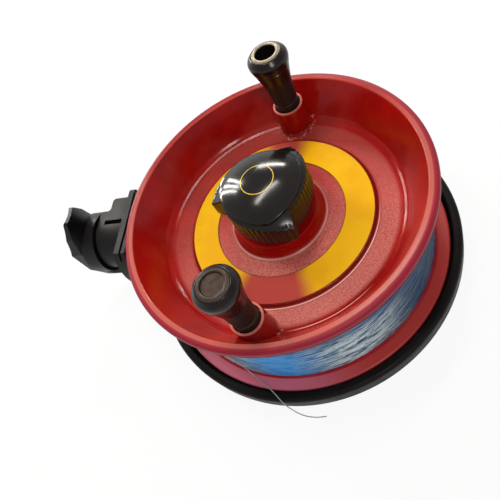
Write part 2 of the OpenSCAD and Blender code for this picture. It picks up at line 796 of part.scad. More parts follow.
// Grip: a tapered neck under a bulbous head, with a socket over the screw and a groove at the seam
module handle_grip(i) {
    bore = grip_bush_r + fit_gap;
    groove_r = grip_r - groove_depth;
    groove_z = boss_top + groove_rise;
    shoulder_z = grip_top - grip_rim_h;
    color(black) on_handle(i) turned([
        [bore, grip_z, 0], [grip_r, grip_z, fine_round], [grip_r, groove_z, 0],
        [groove_r, groove_z + groove_w/4, 0], [groove_r, groove_z + 3*groove_w/4, 0],
        [grip_r, groove_z + groove_w, 0], [grip_r + groove_depth, boss_top + swell_h, swell_round],
        [seam_r - seam_cut, seam_z - seam_cut, 0], [seam_r - 2*seam_cut, seam_z, 0],
        [seam_r, seam_z + seam_cut, 0], [grip_head_r, seam_z + grip_head_round, root_round],
        [grip_head_r, grip_top - grip_head_round, grip_head_round],
        [grip_rim_r + grip_rim_w, shoulder_z, edge_round], [grip_rim_r, shoulder_z, fine_round],
        [grip_rim_r, grip_top, fine_round], [socket_r, grip_top, fine_round],
        [socket_r, socket_z, 0], [bore, socket_z, 0]]);
}

// Sleeve in a grip
module handle_bush(i) {
    color(nylon) on_handle(i) ring(grip_z, socket_z - grip_z, grip_bush_r, shoulder_r + run_gap);
}

// Plug that closes the socket of the lower handle
module handle_plug(i) {
    top = grip_top - plug_sink;
    color(black) on_handle(i)
        turned([[0, top - plug_t, 0], [socket_r - fit_gap, top - plug_t, fine_round],
                [socket_r - fit_gap, top, fine_round], [0, top + plug_crown, 0]]);
}

// Collar that lifts with the knob and presses on the disc springs
module thrust_collar() { color(brass) ring(collar_z, collar_t, collar_r, thread_r + run_gap); }

module disc_springs() {
    color(steel) for (i = [0:disc_count - 1])
        spring_disc(disc_z + i*disc_pitch, disc_r, thread_r + run_gap, disc_t, disc_rise, i % 2 == 1);
}

// Outline of the knob's cap: three bowed sides that meet at the tips
module cap_outline() {
    steps = 14;
    bow = knob_side_r - knob_tip_r*cos(60);
    bow_r = (pow(knob_tip_r*sin(60), 2) + bow*bow)/2/bow;
    reach = asin(knob_tip_r*sin(60)/bow_r) - tip_blunt;
    polygon([for (k = [0:2], i = [0:steps]) let (
        a = -reach + 2*reach*i/steps,
        p = [knob_side_r - bow_r + bow_r*cos(a), bow_r*sin(a)],
        turn = knob_angle + 60 + 120*k)
        [p.x*cos(turn) - p.y*sin(turn), p.x*sin(turn) + p.y*cos(turn)]]);
}

// Outline of the lugs: three sides that sweep out to an apex, each with a short step back in to the next
module lug_outline() {
    sweep = 120 - lug_root_turn;
    polygon(rounded([for (k = [0:2], i = [0:lug_steps]) let (
        t = i/lug_steps,
        r = lug_start_r + (lug_r - lug_start_r)*pow(t, lug_bow),
        turn = knob_angle + lug_turn + 120*k - sweep*(1 - t))
        [r*cos(turn), r*sin(turn), i == lug_steps ? lug_round : 0]]));
}

// Star knob: a domed cap and three lugs over a tapered skirt, hollow below for the springs
module star_knob() {
    dome_r = (pow(knob_tip_r, 2) + pow(knob_dome_h, 2))/2/knob_dome_h;
    color(black) difference() {
        union() {
            intersection() {
                translate([0, 0, knob_cap_z]) linear_extrude(knob_h - knob_skirt_h) cap_outline();
                translate([0, 0, knob_top - dome_r]) sphere(r = dome_r);
            }
            translate([0, 0, knob_z])
                cylinder(h = knob_skirt_h + edge_round, r1 = knob_foot_r, r2 = knob_side_r - knob_skirt_in);
            intersection() {
                translate([0, 0, knob_z + lug_rise]) linear_extrude(knob_h - lug_rise) lug_outline();
                translate([0, 0, knob_top - lug_drop - dome_r]) sphere(r = dome_r);
            }
        }
        bar(knob_z - over, knob_cavity_top - knob_z + over, knob_cavity_r);
        bar(knob_z, insert_top - knob_z, insert_r + fit_gap);
    }
}

module knob_insert() { color(brass) ring(insert_z, insert_top - insert_z, insert_r, thread_r + run_gap); }

// Foot: a round hub, two tapering tongues, a saddle for the rod and a quarter-turn groove for the stop pin
module reel_foot() {
    outer = rod_r + tongue_root_t;
    tip = rod_r + tongue_tip_t;
    color(black) difference() {
        union() {
            on_leg(foot_x) cylinder(h = foot_t, d = foot_hub_d);
            intersection() {
                translate([-rod_x, 0, leg_z]) for (s = [0, 1]) mirror([0, 0, s])
                    cylinder(h = foot_half_l, r1 = outer, r2 = tip);
                on_leg(foot_x) linear_extrude(foot_side_x - foot_x) foot_outline();
            }
        }
        translate([-rod_x, 0, leg_z - foot_half_l - over]) cylinder(h = 2*foot_half_l + 2*over, r = rod_r);
        on_leg(foot_x - over) cylinder(h = foot_t + 2*over, r = bolt_r + run_gap);
        on_leg(bolt_head_x - slide_gap) cylinder(h = foot_t, d = bolt_head_d + 2*soft_gap);
        on_leg(foot_x - over) stop_groove();
    }
}

// Outline of the foot seen along the swivel's axis
module foot_outline() {
    w = foot_w/2;
    t = tongue_tip_w/2;
    knee = foot_half_l*0.7;
    knee_w = t + (w - t)*0.62;
    side = foot_half_l*0.3;
    half = [[-foot_half_l, t, root_round], [-knee, knee_w, knee_round], [-side, w, side_round],
            [side, w, side_round], [knee, knee_w, knee_round], [foot_half_l, t, root_round]];
    polygon(rounded(concat(half, [for (i = [len(half) - 1:-1:0]) [half[i].x, -half[i].y, half[i].z]])));
}

// Groove that the stop pin runs in as the foot turns
module stop_groove() {
    width = stop_d + 2*soft_gap;
    depth = over + stop_reach + soft_gap;
    rotate(stop_angle) rotate_extrude(angle = 90)
        translate([stop_r - width/2, 0]) square([width, depth]);
    for (a = [0, 90]) rotate(stop_angle + a) translate([stop_r, 0, 0]) cylinder(h = depth, d = width);
}

back_plate();
leg_bracket();
bracket_screws();
spindle();
spindle_washer();
spindle_nut();
thrust_washer();
pressure_plate();
swivel_bolt();
swivel_bush();
swivel_washer();
swivel_springs();
swivel_nut();
stop_pin();
line_tail();
spool();
spool_flange();
rear_bush();
front_bush();
friction_washer();
label_ring();
line_core();
line_winding();
handle_insert(0);  // handle_insert_a
handle_insert(1);  // handle_insert_b
handle_screw(0);  // handle_screw_a
handle_screw(1);  // handle_screw_b
handle_washers(0);  // handle_washers_a
handle_washers(1);  // handle_washers_b
handle_grip(0);  // handle_grip_a
handle_bush(0);  // handle_bush_a
handle_grip(1);  // handle_grip_b
handle_bush(1);  // handle_bush_b
handle_plug(1);  // handle_plug_b
thrust_collar();
disc_springs();
star_knob();
knob_insert();
reel_foot();
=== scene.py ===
"""A side-cast fishing reel, dressed: studio, wound line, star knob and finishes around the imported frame."""

import json
import logging
import math
from collections.abc import Iterable, Sequence
from dataclasses import dataclass, field
from enum import Enum
from functools import cache, partial, reduce
from typing import Any

import bmesh
import bpy
import numpy as np
from mathutils import Matrix, Vector


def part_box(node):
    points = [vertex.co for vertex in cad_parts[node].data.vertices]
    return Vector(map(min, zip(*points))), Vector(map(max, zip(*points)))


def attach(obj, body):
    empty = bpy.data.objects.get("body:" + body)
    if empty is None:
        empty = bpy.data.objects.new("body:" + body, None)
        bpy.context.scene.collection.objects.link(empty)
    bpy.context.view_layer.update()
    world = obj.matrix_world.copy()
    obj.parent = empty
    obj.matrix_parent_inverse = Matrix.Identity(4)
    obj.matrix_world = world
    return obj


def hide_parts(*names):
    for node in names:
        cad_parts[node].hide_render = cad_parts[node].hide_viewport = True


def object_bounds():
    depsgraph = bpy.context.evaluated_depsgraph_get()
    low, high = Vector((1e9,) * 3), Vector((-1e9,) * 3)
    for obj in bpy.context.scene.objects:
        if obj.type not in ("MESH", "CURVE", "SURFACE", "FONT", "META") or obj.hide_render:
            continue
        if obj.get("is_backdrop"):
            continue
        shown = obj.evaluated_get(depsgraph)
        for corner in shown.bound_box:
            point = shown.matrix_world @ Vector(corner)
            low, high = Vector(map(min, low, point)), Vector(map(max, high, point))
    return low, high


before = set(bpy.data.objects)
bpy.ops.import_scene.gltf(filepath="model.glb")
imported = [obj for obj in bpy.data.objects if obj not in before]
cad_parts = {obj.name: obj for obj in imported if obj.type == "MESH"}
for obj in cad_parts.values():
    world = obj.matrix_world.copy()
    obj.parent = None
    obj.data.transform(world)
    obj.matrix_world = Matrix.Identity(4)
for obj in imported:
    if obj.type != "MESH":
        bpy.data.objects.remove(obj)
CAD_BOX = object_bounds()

LOG = logging.getLogger("reel")
MM = 0.001
DEG = math.pi / 180
FULL_TURN = 2 * math.pi
MERGE_GAP = 1e-7
SKIN_DEPTH = 0.004 * MM
QUARTER_BEND = np.linspace(0, math.pi / 2, 5)

Array = np.ndarray
Colour = tuple[float, float, float, float]
Span = tuple[float, float]
Spot = tuple[float, float, float]
# A band's low and high ends and how far they fade
Band = tuple[float, float, float]
# A span's low and high ends, and what they become if not 0 and 1
Ramp = tuple[float, ...]
Socket = bpy.types.NodeSocket
Value = Any

WHITE: Colour = (1.0, 1.0, 1.0, 1.0)
# Levels that a noise mostly lies between, for a marked pattern and for a gentle one
MARKED: Ramp = (0.35, 0.65)
GENTLE: Ramp = (0.3, 0.7)


def top_of(node: str) -> float:
    """Give the height of a node's highest point."""
    return float(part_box(node)[1][2])


def foot_of(node: str) -> float:
    """Give the height of a node's lowest point."""
    return float(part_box(node)[0][2])


def reach_of(node: str) -> float:
    """Give the radius of a node that stands round the spool's axis."""
    return float(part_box(node)[1][0])


def middle_of(node: str) -> Span:
    """Give the place of a node's own upright axis."""
    low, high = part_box(node)
    return (low[0] + high[0]) / 2, (low[1] + high[1]) / 2


SPOOL_TOP = top_of("spool")
SPOOL_REACH = reach_of("spool")
FLOOR_TOP = top_of("label_ring") + 0.5 * MM
SKIRT_TOP = foot_of("star_knob") + 14.5 * MM
GRIP_TOP = top_of("handle_grip_a")


def srgb(red: int, green: int, blue: int) -> Colour:
    """Turn an 8-bit screen colour into the linear colour that a socket takes.

    Args:
        red, green, blue: levels from 0 to 255.

    Returns:
        The linear colour with full alpha.
    """
    level = np.array([red, green, blue]) / 255
    linear = np.where(level <= 0.04045, level / 12.92, ((level + 0.055) / 1.055) ** 2.4)
    return (float(linear[0]), float(linear[1]), float(linear[2]), 1.0)


def unit(vectors: Array) -> Array:
    """Scale each vector of the last axis to length one."""
    return vectors / np.linalg.norm(vectors, axis=-1, keepdims=True)


@dataclass
class Surface:
    """A grid of points, with the directions in which it closes on itself and values at its points."""

    points: Array
    wrap_rows: bool = True
    wrap_columns: bool = True
    values: dict[str, Array] = field(default_factory=dict)

    def faces(self) -> Array:
        """Number the four corners of each cell of the grid.

        Returns:
            One row of four point numbers per cell.
        """
        rows, columns = self.points.shape[:2]
        row, column = np.meshgrid(
            np.arange(rows if self.wrap_rows else rows - 1),
            np.arange(columns if self.wrap_columns else columns - 1),
            indexing="ij",
        )
        here, below = row * columns, (row + 1) % rows * columns
        right = (column + 1) % columns
        return np.stack([here + column, below + column, below + right, here + right], axis=-1).reshape(-1, 4)


def make_object(name: str, surfaces: Sequence[Surface], crease: float = 35) -> bpy.types.Object:
    """Join grids into one mesh whose coinciding points are merged and whose faces point outwards.

    Args:
        name: the piece's name.
        surfaces: the grids, each a closed shell.
        crease: angle in degrees above which an edge stays sharp.

    Returns:
        The piece, at the origin.
    """
    clouds = [surface.points.reshape(-1, 3) for surface in surfaces]
    starts = np.cumsum([0] + [len(cloud) for cloud in clouds[:-1]])
    faces = np.concatenate([surface.faces() + start for surface, start in zip(surfaces, starts)])
    mesh = bpy.data.meshes.new(name)
    mesh.from_pydata(np.concatenate(clouds).tolist(), [], faces.tolist())
    for key in surfaces[0].values:
        values = np.concatenate([np.ravel(surface.values[key]) for surface in surfaces])
        mesh.attributes.new(key, "FLOAT", "POINT").data.foreach_set("value", values.astype(np.float32))
    shell = bmesh.new()
    shell.from_mesh(mesh)
    bmesh.ops.remove_doubles(shell, verts=shell.verts, dist=MERGE_GAP)
    bmesh.ops.recalc_face_normals(shell, faces=shell.faces)
    shell.to_mesh(mesh)
    shell.free()
    mesh.shade_smooth()
    mesh.set_sharp_from_angle(angle=math.radians(crease))
    piece = bpy.data.objects.new(name, mesh)
    bpy.context.scene.collection.objects.link(piece)
    LOG.info("%s: %d faces", name, len(mesh.polygons))
    return piece


def rounded(corners: Array, steps: int = 7) -> Array:
    """Round the corners of a closed outline by arcs that touch both sides of a corner.

    An arc's middle lies on the line that halves its corner, radius / sin(half angle) away, and its points
    turn evenly from the one side to the other.

    Args:
        corners: one row per corner, with its two coordinates and its radius.
        steps: points on an arc.

    Returns:
        The outline's points, without repeats.
    """
    point, radius = corners[:, :2], corners[:, 2:]
    ahead, behind = (unit(np.roll(point, shift, axis=0) - point) for shift in (-1, 1))
    half = 0.5 * np.arccos(np.clip((ahead * behind).sum(axis=1, keepdims=True), -1, 1))
    middle = point + unit(ahead + behind) * radius / np.sin(half)
    first, last = (point + side * radius / np.tan(half) - middle for side in (behind, ahead))
    sweep = (math.pi - 2 * half)[:, None]
    part = np.linspace(0, 1, steps)[None, :, None]
    arcs = np.sin((1 - part) * sweep) * first[:, None] + np.sin(part * sweep) * last[:, None]
    outline = (middle[:, None] + arcs / np.sin(sweep)).reshape(-1, 2)
    moved = np.linalg.norm(outline - np.roll(outline, 1, axis=0), axis=1) > MERGE_GAP
    return outline[moved]


def carried(turn: Array, stations: Iterable[Sequence[Value]]) -> Array:
    """Carry the stations of a profile round the upright axis.

    Args:
        turn: the angle of each row.
        stations: each station's radius and height, as one number for all turns or one for each.

    Returns:
        The grid of points: x and y are the radius times cosine and sine of the turn.
    """
    radius, height = (np.stack(np.broadcast_arrays(turn, *part)[1:], axis=1) for part in zip(*stations))
    return np.stack([radius * np.cos(turn)[:, None], radius * np.sin(turn)[:, None], height], axis=-1)


def lathe(profile: Array, steps: int) -> Surface:
    """Turn a closed profile of radius and height once round the upright axis."""
    return Surface(carried(np.linspace(0, FULL_TURN, steps, endpoint=False), profile))


def tube(path: Array, radius: float, sides: int, outward: Array) -> Surface:
    """Carry a circle along a path and close both ends to a point.

    Args:
        path: the points that the circle's middle follows.
        radius: the circle's radius.
        sides: points on the circle.
        outward: a direction at each point, or one for all, never along the path.

    Returns:
        The tube's surface: path + radius (cos a side + sin a rise), side and rise square to the path.
    """
    along = unit(np.gradient(path, axis=0))
    side = unit(np.cross(along, np.broadcast_to(outward, path.shape)))
    rise = np.cross(side, along)
    turn = np.linspace(0, FULL_TURN, sides, endpoint=False)[None, :, None]
    body = path[:, None] + radius * (np.cos(turn) * side[:, None] + np.sin(turn) * rise[:, None])
    first, last = (np.repeat(path[None, [end]], sides, axis=1) for end in (0, -1))
    return Surface(np.concatenate([first, body, last]), wrap_rows=False)


def spline(points: Array, steps: int) -> Array:
    """Pass a smooth curve through points.

    Each leg is a cubic, and its slope at a point is half the way between the point's neighbours.

    Args:
        points: the points to pass through.
        steps: points on each leg.

    Returns:
        The curve's points, with both ends.
    """
    ahead = np.concatenate([points[1:], 2 * points[-1:] - points[-2:-1]])
    behind = np.concatenate([2 * points[:1] - points[1:2], points[:-1]])
    slope = 0.5 * (ahead - behind)
    part = np.linspace(0, 1, steps, endpoint=False)[None, :, None]
    start, end = points[:-1, None], points[1:, None]
    leg = (
        (2 * part**3 - 3 * part**2 + 1) * start
        + (part**3 - 2 * part**2 + part) * slope[:-1, None]
        + (3 * part**2 - 2 * part**3) * end
        + (part**3 - part**2) * slope[1:, None]
    )
    return np.concatenate([leg.reshape(-1, 3), points[-1:]])


class Nodes:
    """A node tree, with short ways to add nodes and join them."""

    # A Mix node's sockets for colours follow those for numbers and vectors
    MIX_FIRST = 6
    MIX_SECOND = 7
    MIX_RESULT = 2
    SEEN_RAYS = ("Is Camera Ray", "Is Glossy Ray", "Is Transmission Ray")

    def __init__(self, tree: bpy.types.NodeTree) -> None:
        """Take up a tree."""
        self.tree = tree

    def feed(self, socket: Socket, value: Value) -> None:
        """Link a socket to another one, or set its constant.

        Args:
            socket: the socket to feed.
            value: the other socket, or the constant.
        """
        if isinstance(value, bpy.types.NodeSocket):
            self.tree.links.new(value, socket)
        else:
            socket.default_value = value

    def add(self, kind: str, inputs: dict[str | int, Value], **settings: Value) -> bpy.types.Node:
        """Add a node.

        Args:
            kind: the node's kind, without the words that every kind starts with.
            inputs: what its sockets are fed, by their names or numbers.
            settings: the node's own settings.

        Returns:
            The node.
        """
        node = self.tree.nodes.new(f"ShaderNode{kind}")
        for key, value in settings.items():
            setattr(node, key, value)
        for key, value in inputs.items():
            self.feed(node.inputs[key], value)
        return node

    def math(self, operation: str, first: Value, second: Value = 0.0) -> Socket:
        """Work out one sum of two numbers, named in the Math node's own word."""
        return self.add("Math", {0: first, 1: second}, operation=operation).outputs[0]

    def times(self, first: Value, *others: Value) -> Socket:
        """Multiply numbers with one another."""
        return reduce(partial(self.math, "MULTIPLY"), others, first)

    def most(self, first: Value, *others: Value) -> Socket:
        """Give the greatest of some numbers."""
        return reduce(partial(self.math, "MAXIMUM"), others, first)

    def mix(self, share: Value, first: Value, second: Value) -> Socket:
        """Blend two colours by the share of the second."""
        inputs = {0: share, self.MIX_FIRST: first, self.MIX_SECOND: second}
        return self.add("Mix", inputs, data_type="RGBA").outputs[self.MIX_RESULT]

    def span(self, value: Value, low: float, high: float, first: float = 0.0, last: float = 1.0) -> Socket:
        """Carry a number from one span smoothly into another."""
        inputs = {"Value": value, "From Min": low, "From Max": high, "To Min": first, "To Max": last}
        return self.add("MapRange", inputs, interpolation_type="SMOOTHSTEP").outputs["Result"]

    def band(self, value: Value, low: float, high: float, soft: float) -> Socket:
        """Mark where a number lies between two others, with ends that fade to either side."""
        rise = self.span(value, low - soft, low + soft)
        return self.times(rise, self.span(value, high - soft, high + soft, 1.0, 0.0))

    def seen(self) -> Socket:
        """Mark the camera's rays, mirrored rays and rays through glass by 1."""
        rays = self.add("LightPath", {}).outputs
        return self.most(*(rays[kind] for kind in self.SEEN_RAYS))

    def show(self, end: str, share: Value, first: Socket, second: Socket) -> None:
        """Blend two shaders by the share of the second, and show the blend at the tree's end."""
        blend = self.add("MixShader", {0: share, 1: first, 2: second}).outputs[0]
        self.feed(self.tree.nodes[end].inputs["Surface"], blend)


class Pad(Nodes):
    """The node tree of a new material that reads Object coordinates."""

    def __init__(self, name: str) -> None:
        """Start the material.

        Args:
            name: the material's name.
        """
        self.material = bpy.data.materials.new(name)
        self.material.use_nodes = True
        super().__init__(self.material.node_tree)
        self.shader = self.tree.nodes["Principled BSDF"]
        self.place = self.add("TexCoord", {}).outputs["Object"]

    def set(self, **inputs: Value) -> None:
        """Feed the shader's sockets, named in lower case with underscores."""
        for key, value in inputs.items():
            self.feed(self.shader.inputs[key.replace("_", " ").title().replace("Ior", "IOR")], value)

    def noise(self, scale: float, detail: float, place: Socket | None = None) -> Socket:
        """Lay cloudy noise, from 0 to 1, over the Object coordinates or another place."""
        inputs = {"Scale": scale, "Detail": detail, "Vector": self.place if place is None else place}
        return self.add("TexNoise", inputs).outputs["Fac"]

    def axes(self) -> tuple[Socket, ...]:
        """Part the Object coordinates into x, y and z."""
        return tuple(self.add("SeparateXYZ", {0: self.place}).outputs)

    def height(self) -> Socket:
        """Measure how high a point lies."""
        return self.axes()[2]

    def reach(self, x: float = 0.0, y: float = 0.0) -> Socket:
        """Measure how far a point lies from an upright axis at x, y."""
        square = [self.math("POWER", self.math("SUBTRACT", *pair), 2.0) for pair in zip(self.axes(), (x, y))]
        return self.math("SQRT", self.math("ADD", *square))

    def turn(self) -> Socket:
        """Measure the turn round the spool's axis, from minus to plus half a turn."""
        along, across, _ = self.axes()
        return self.math("ARCTAN2", across, along)

    def facing(self, angle: float) -> Socket:
        """Give the cosine of the turn away from an angle, which is 1 at the angle itself."""
        return self.math("COSINE", self.math("SUBTRACT", self.turn(), angle))

    def attribute(self, name: str) -> Socket:
        """Read a value that the mesh carries at its points."""
        return self.add("Attribute", {}, attribute_name=name).outputs["Fac"]

    def bump(self, height: Value, distance: float) -> Socket:
        """Raise the surface by a height from 0 to 1 times a distance in metres."""
        return self.add("Bump", {"Height": height, "Distance": distance}).outputs["Normal"]


@dataclass(frozen=True)
class Moulding:
    """Moulded plastic: a mottled colour, pale dust and scuffs, uneven gloss and a fine skin."""

    name: str
    colour: Colour
    shade: Colour
    dust: Colour
    dusting: float = 0.1
    gloss: Span = (0.3, 0.45)
    specular: float = 0.5
    cloud_scale: float = 45
    cover_scale: float = 0.6
    cover: Ramp = (0.5, 0.72)
    speck_scale: float = 900
    specks: Ramp = (0.62, 0.74)
    gloss_scale: float = 1.7
    skin_scale: float = 2200
    skin_depth: float = SKIN_DEPTH

    def colours(self, pad: Pad) -> Socket:
        """Mix the colour from clouds and specks of dust.

        Args:
            pad: the material under way.

        Returns:
            The colour's socket.
        """
        body = pad.mix(pad.span(pad.noise(self.cloud_scale, 4), *MARKED), self.colour, self.shade)
        cover = pad.span(pad.noise(self.cloud_scale * self.cover_scale, 5), *self.cover, 0.0, self.dusting)
        specks = pad.span(pad.noise(self.speck_scale, 3), *self.specks, 0.0, self.dusting)
        return pad.mix(pad.most(cover, specks), body, self.dust)

    def roughness(self, pad: Pad) -> Socket:
        """Give the roughness, uneven from place to place."""
        return pad.span(pad.noise(self.cloud_scale * self.gloss_scale, 5), *GENTLE, *self.gloss)

    def dulled(self, pad: Pad, below: Ramp) -> Socket:
        """Give the roughness of a piece that is duller below some height."""
        return pad.math("ADD", Moulding.roughness(self, pad), pad.span(pad.height(), *below))

    def relief(self, pad: Pad) -> Socket:
        """Give the height of the skin, from 0 to 1."""
        return pad.noise(self.skin_scale, 3)

    def material(self) -> bpy.types.Material:
        """Build the material.

        Returns:
            The material.
        """
        pad = Pad(self.name)
        pad.set(base_color=self.colours(pad), roughness=self.roughness(pad))
        pad.set(specular_ior_level=self.specular, normal=pad.bump(self.relief(pad), self.skin_depth))
        return pad.material


@dataclass(frozen=True)
class HighlightLine:
    """A painted highlight: a thin bright ring round the dish, which fades with the cosine of the turn away
    from its own.
    """

    radii: Band
    turn: float
    fade: Ramp

    def mask(self, pad: Pad) -> Socket:
        """Mark the line."""
        return pad.times(pad.band(pad.reach(), *self.radii), pad.span(pad.facing(self.turn), *self.fade))


@dataclass(frozen=True)
class DishMoulding(Moulding):
    """Red glassfibre of the spool: a grained floor, worn boss rims and dust, with painted light: thin
    highlights, a sheen on the grain, the lip's top and its outer side, and shade outside the label and under
    the lip.
    """

    # Pale pink: the real grain and worn boss rims, and the painted sheen on the grain and on the lip's top
    worn: Colour = srgb(220, 134, 122)
    # Near-white of the painted highlights
    bright: Colour = srgb(240, 206, 194)
    # Deep red, painted as shade outside the label and under the lip
    deep: Colour = srgb(104, 8, 5)
    painted_shade_share: float = 0.8
    # Purplish red painted on the lip's outer side as a sheen
    side: Colour = srgb(146, 32, 50)
    floor_levels: Band = (FLOOR_TOP - 3 * MM, FLOOR_TOP, 0.4 * MM)
    outer_floor: Band = (48.4 * MM, 57.5 * MM, 1.5 * MM)
    inner_floor: Band = (24.5 * MM, 45.6 * MM, 0.8 * MM)
    low: Ramp = (FLOOR_TOP, FLOOR_TOP + 1 * MM, 1.0, 0.0)
    grain_scale: float = 2000
    grain: Ramp = (0.37, 0.65, 0.27, 0.71)
    # The grain is painted paler towards this turn, a sheen on top of the real grain
    grain_sheen_turn: float = -68 * DEG
    grain_sheen_fade: Ramp = (-0.6, 1.0, 0.26, 1.0)
    skin_share: float = 0.15
    # Painted shade: a dark red band just outside the label, where the step lies in shade
    riser_shade: Band = (46.1 * MM, 47.9 * MM, 0.15 * MM)
    # Painted highlights: thin bright rings outside the label, at the hub's foot and on the wall's foot
    # fillet, each brightest on one side
    highlight_lines: tuple[HighlightLine, ...] = (
        HighlightLine((48.05 * MM, 48.5 * MM, 0.1 * MM), -68 * DEG, (0.2, 0.7, 0.0, 0.8)),
        HighlightLine((23.6 * MM, 24.4 * MM, 0.4 * MM), -68 * DEG, (-0.6, 0.8, 0.16, 0.5)),
        HighlightLine((59.6 * MM, 60.1 * MM, 0.15 * MM), -62 * DEG, (0.92, 0.99, 0.0, 0.6)),
    )
    bosses: tuple[Span, Span] = (middle_of("handle_grip_a"), middle_of("handle_grip_b"))
    boss_rim: Ramp = (SPOOL_TOP - 4.4 * MM, SPOOL_TOP - 3.7 * MM)
    boss_reach: Ramp = (68 * MM, 69 * MM, 0.65, 0.0)
    boss_foot: Band = (8.7 * MM, 10.8 * MM, 0.5 * MM)
    crumb_levels: Ramp = (FLOOR_TOP, FLOOR_TOP + 2.5 * MM, 1.0, 0.0)
    crumb_scale: float = 700
    crumb_dust: Ramp = (0.55, 0.68, 0.0, 0.8)
    lip_levels: Ramp = (SPOOL_TOP - 0.4 * MM, SPOOL_TOP - 0.05 * MM)
    lip_reach: Ramp = (SPOOL_REACH - 2.9 * MM, SPOOL_REACH - 2.1 * MM, 1.0, 0.0)
    # The lip's pale top is a painted sheen, strongest towards this turn
    lip_sheen_turn: float = -75 * DEG
    lip_sheen_fade: Ramp = (-0.7, 0.0, 0.14, 0.44)
    side_reach: Ramp = (SPOOL_REACH - 2.6 * MM, SPOOL_REACH - 1.8 * MM)
    under_slope: float = 1.4
    under_levels: Ramp = (-48.6 * MM, -47.8 * MM, 1.0, 0.0)
    dull: float = 0.24
    dull_under: float = 0.36

    def floor_mask(self, pad: Pad) -> Socket:
        """Mark the grained floor on both sides of the label."""
        flat = pad.most(*(pad.band(pad.reach(), *radii) for radii in (self.outer_floor, self.inner_floor)))
        return pad.times(flat, pad.band(pad.height(), *self.floor_levels))

    def worn_rims_and_sheen(self, pad: Pad) -> Socket:
        """Mark the worn rims of the bosses, and the pale top of the lip, a painted sheen that is strongest on
        the near side.

        Args:
            pad: the material under way.

        Returns:
            The mask's socket.
        """
        height, reach = pad.height(), pad.reach()
        rim = pad.times(pad.span(height, *self.boss_rim), pad.span(reach, *self.boss_reach))
        lip = pad.times(pad.span(height, *self.lip_levels), pad.span(reach, *self.lip_reach))
        return pad.most(rim, pad.times(lip, pad.span(pad.facing(self.lip_sheen_turn), *self.lip_sheen_fade)))

    def outside(self, pad: Pad) -> Socket:
        """Mark the outer side of the lip."""
        return pad.span(pad.reach(), *self.side_reach)

    def underside(self, pad: Pad) -> Socket:
        """Mark the underside of the lip, which lies below a cone round the axis."""
        level = pad.math("SUBTRACT", pad.height(), pad.times(pad.reach(), self.under_slope))
        return pad.span(level, *self.under_levels)

    def crumbs(self, pad: Pad) -> Socket:
        """Mark the dust that gathers where a boss stands on the floor.

        Args:
            pad: the material under way.

        Returns:
            The mask's socket.
        """
        nearest = pad.math("MINIMUM", *(pad.reach(*boss) for boss in self.bosses))
        low = pad.span(pad.height(), *self.crumb_levels)
        dust = pad.span(pad.noise(self.crumb_scale, 3), *self.crumb_dust)
        return pad.times(pad.band(nearest, *self.boss_foot), low, dust)

    def colours(self, pad: Pad) -> Socket:
        """Add the band's painted shade outside the label, the grain with its painted sheen, thin painted
        highlights, the lip's painted sheen and shade, the worn boss rims and the dust to the plain moulding.

        Args:
            pad: the material under way.

        Returns:
            The colour's socket.
        """
        low = pad.span(pad.height(), *self.low)
        # Painted shade on the band just outside the label
        riser_shade = pad.times(pad.band(pad.reach(), *self.riser_shade), low, self.painted_shade_share)
        body = pad.mix(riser_shade, super().colours(pad), self.deep)
        # Real grain, painted paler towards one side as a sheen
        grain = pad.span(pad.noise(self.grain_scale, 2), *self.grain)
        near = pad.span(pad.facing(self.grain_sheen_turn), *self.grain_sheen_fade)
        body = pad.mix(pad.times(grain, near, self.floor_mask(pad)), body, self.worn)
        # Painted highlights round the dish
        for line in self.highlight_lines:
            body = pad.mix(pad.times(line.mask(pad), low), body, self.bright)
        # Painted sheen on the lip's outer side
        body = pad.mix(self.outside(pad), body, self.side)
        # Painted shade: the lip's underside darkened towards the deep red
        body = pad.mix(pad.times(self.underside(pad), self.painted_shade_share), body, self.deep)
        # Worn boss rims, and the painted sheen on the lip's top
        body = pad.mix(self.worn_rims_and_sheen(pad), body, self.worn)
        return pad.mix(self.crumbs(pad), body, self.dust)

    def roughness(self, pad: Pad) -> Socket:
        """Give the roughness, dull on the grained floor, the lip's outer side and its underside.

        Args:
            pad: the material under way.

        Returns:
            The roughness's socket.
        """
        flat = pad.times(pad.most(self.floor_mask(pad), self.outside(pad)), self.dull)
        dull = pad.math("ADD", flat, pad.times(self.underside(pad), self.dull_under))
        return pad.math("ADD", super().roughness(pad), dull)

    def relief(self, pad: Pad) -> Socket:
        """Give the height of the skin, raised to a grain on the floor."""
        grain = pad.times(pad.noise(self.grain_scale, 2), self.floor_mask(pad))
        return pad.math("ADD", pad.times(super().relief(pad), self.skin_share), grain)


@dataclass(frozen=True)
class FlangeMoulding(Moulding):
    """Red of the rear flange, painted paler on its outer band as the lit face, and pinker towards one side as
    a painted sheen.
    """

    # Painted light: the outer band painted paler than the shaded inner part, pinkest towards one turn
    band: Colour = srgb(228, 124, 146)
    plain_band: Colour = srgb(196, 66, 60)
    band_reach: Ramp = (70.7 * MM, 71.3 * MM, 0.0, 0.85)
    sheen_side_turn: float = -128 * DEG
    sheen_side_fade: Ramp = (0.3, 0.85)

    def colours(self, pad: Pad) -> Socket:
        """Add the outer band's painted light, pinker on one side, to the plain moulding."""
        band = pad.mix(pad.span(pad.facing(self.sheen_side_turn), *self.sheen_side_fade), self.plain_band, self.band)
        return pad.mix(pad.span(pad.reach(), *self.band_reach), super().colours(pad), band)


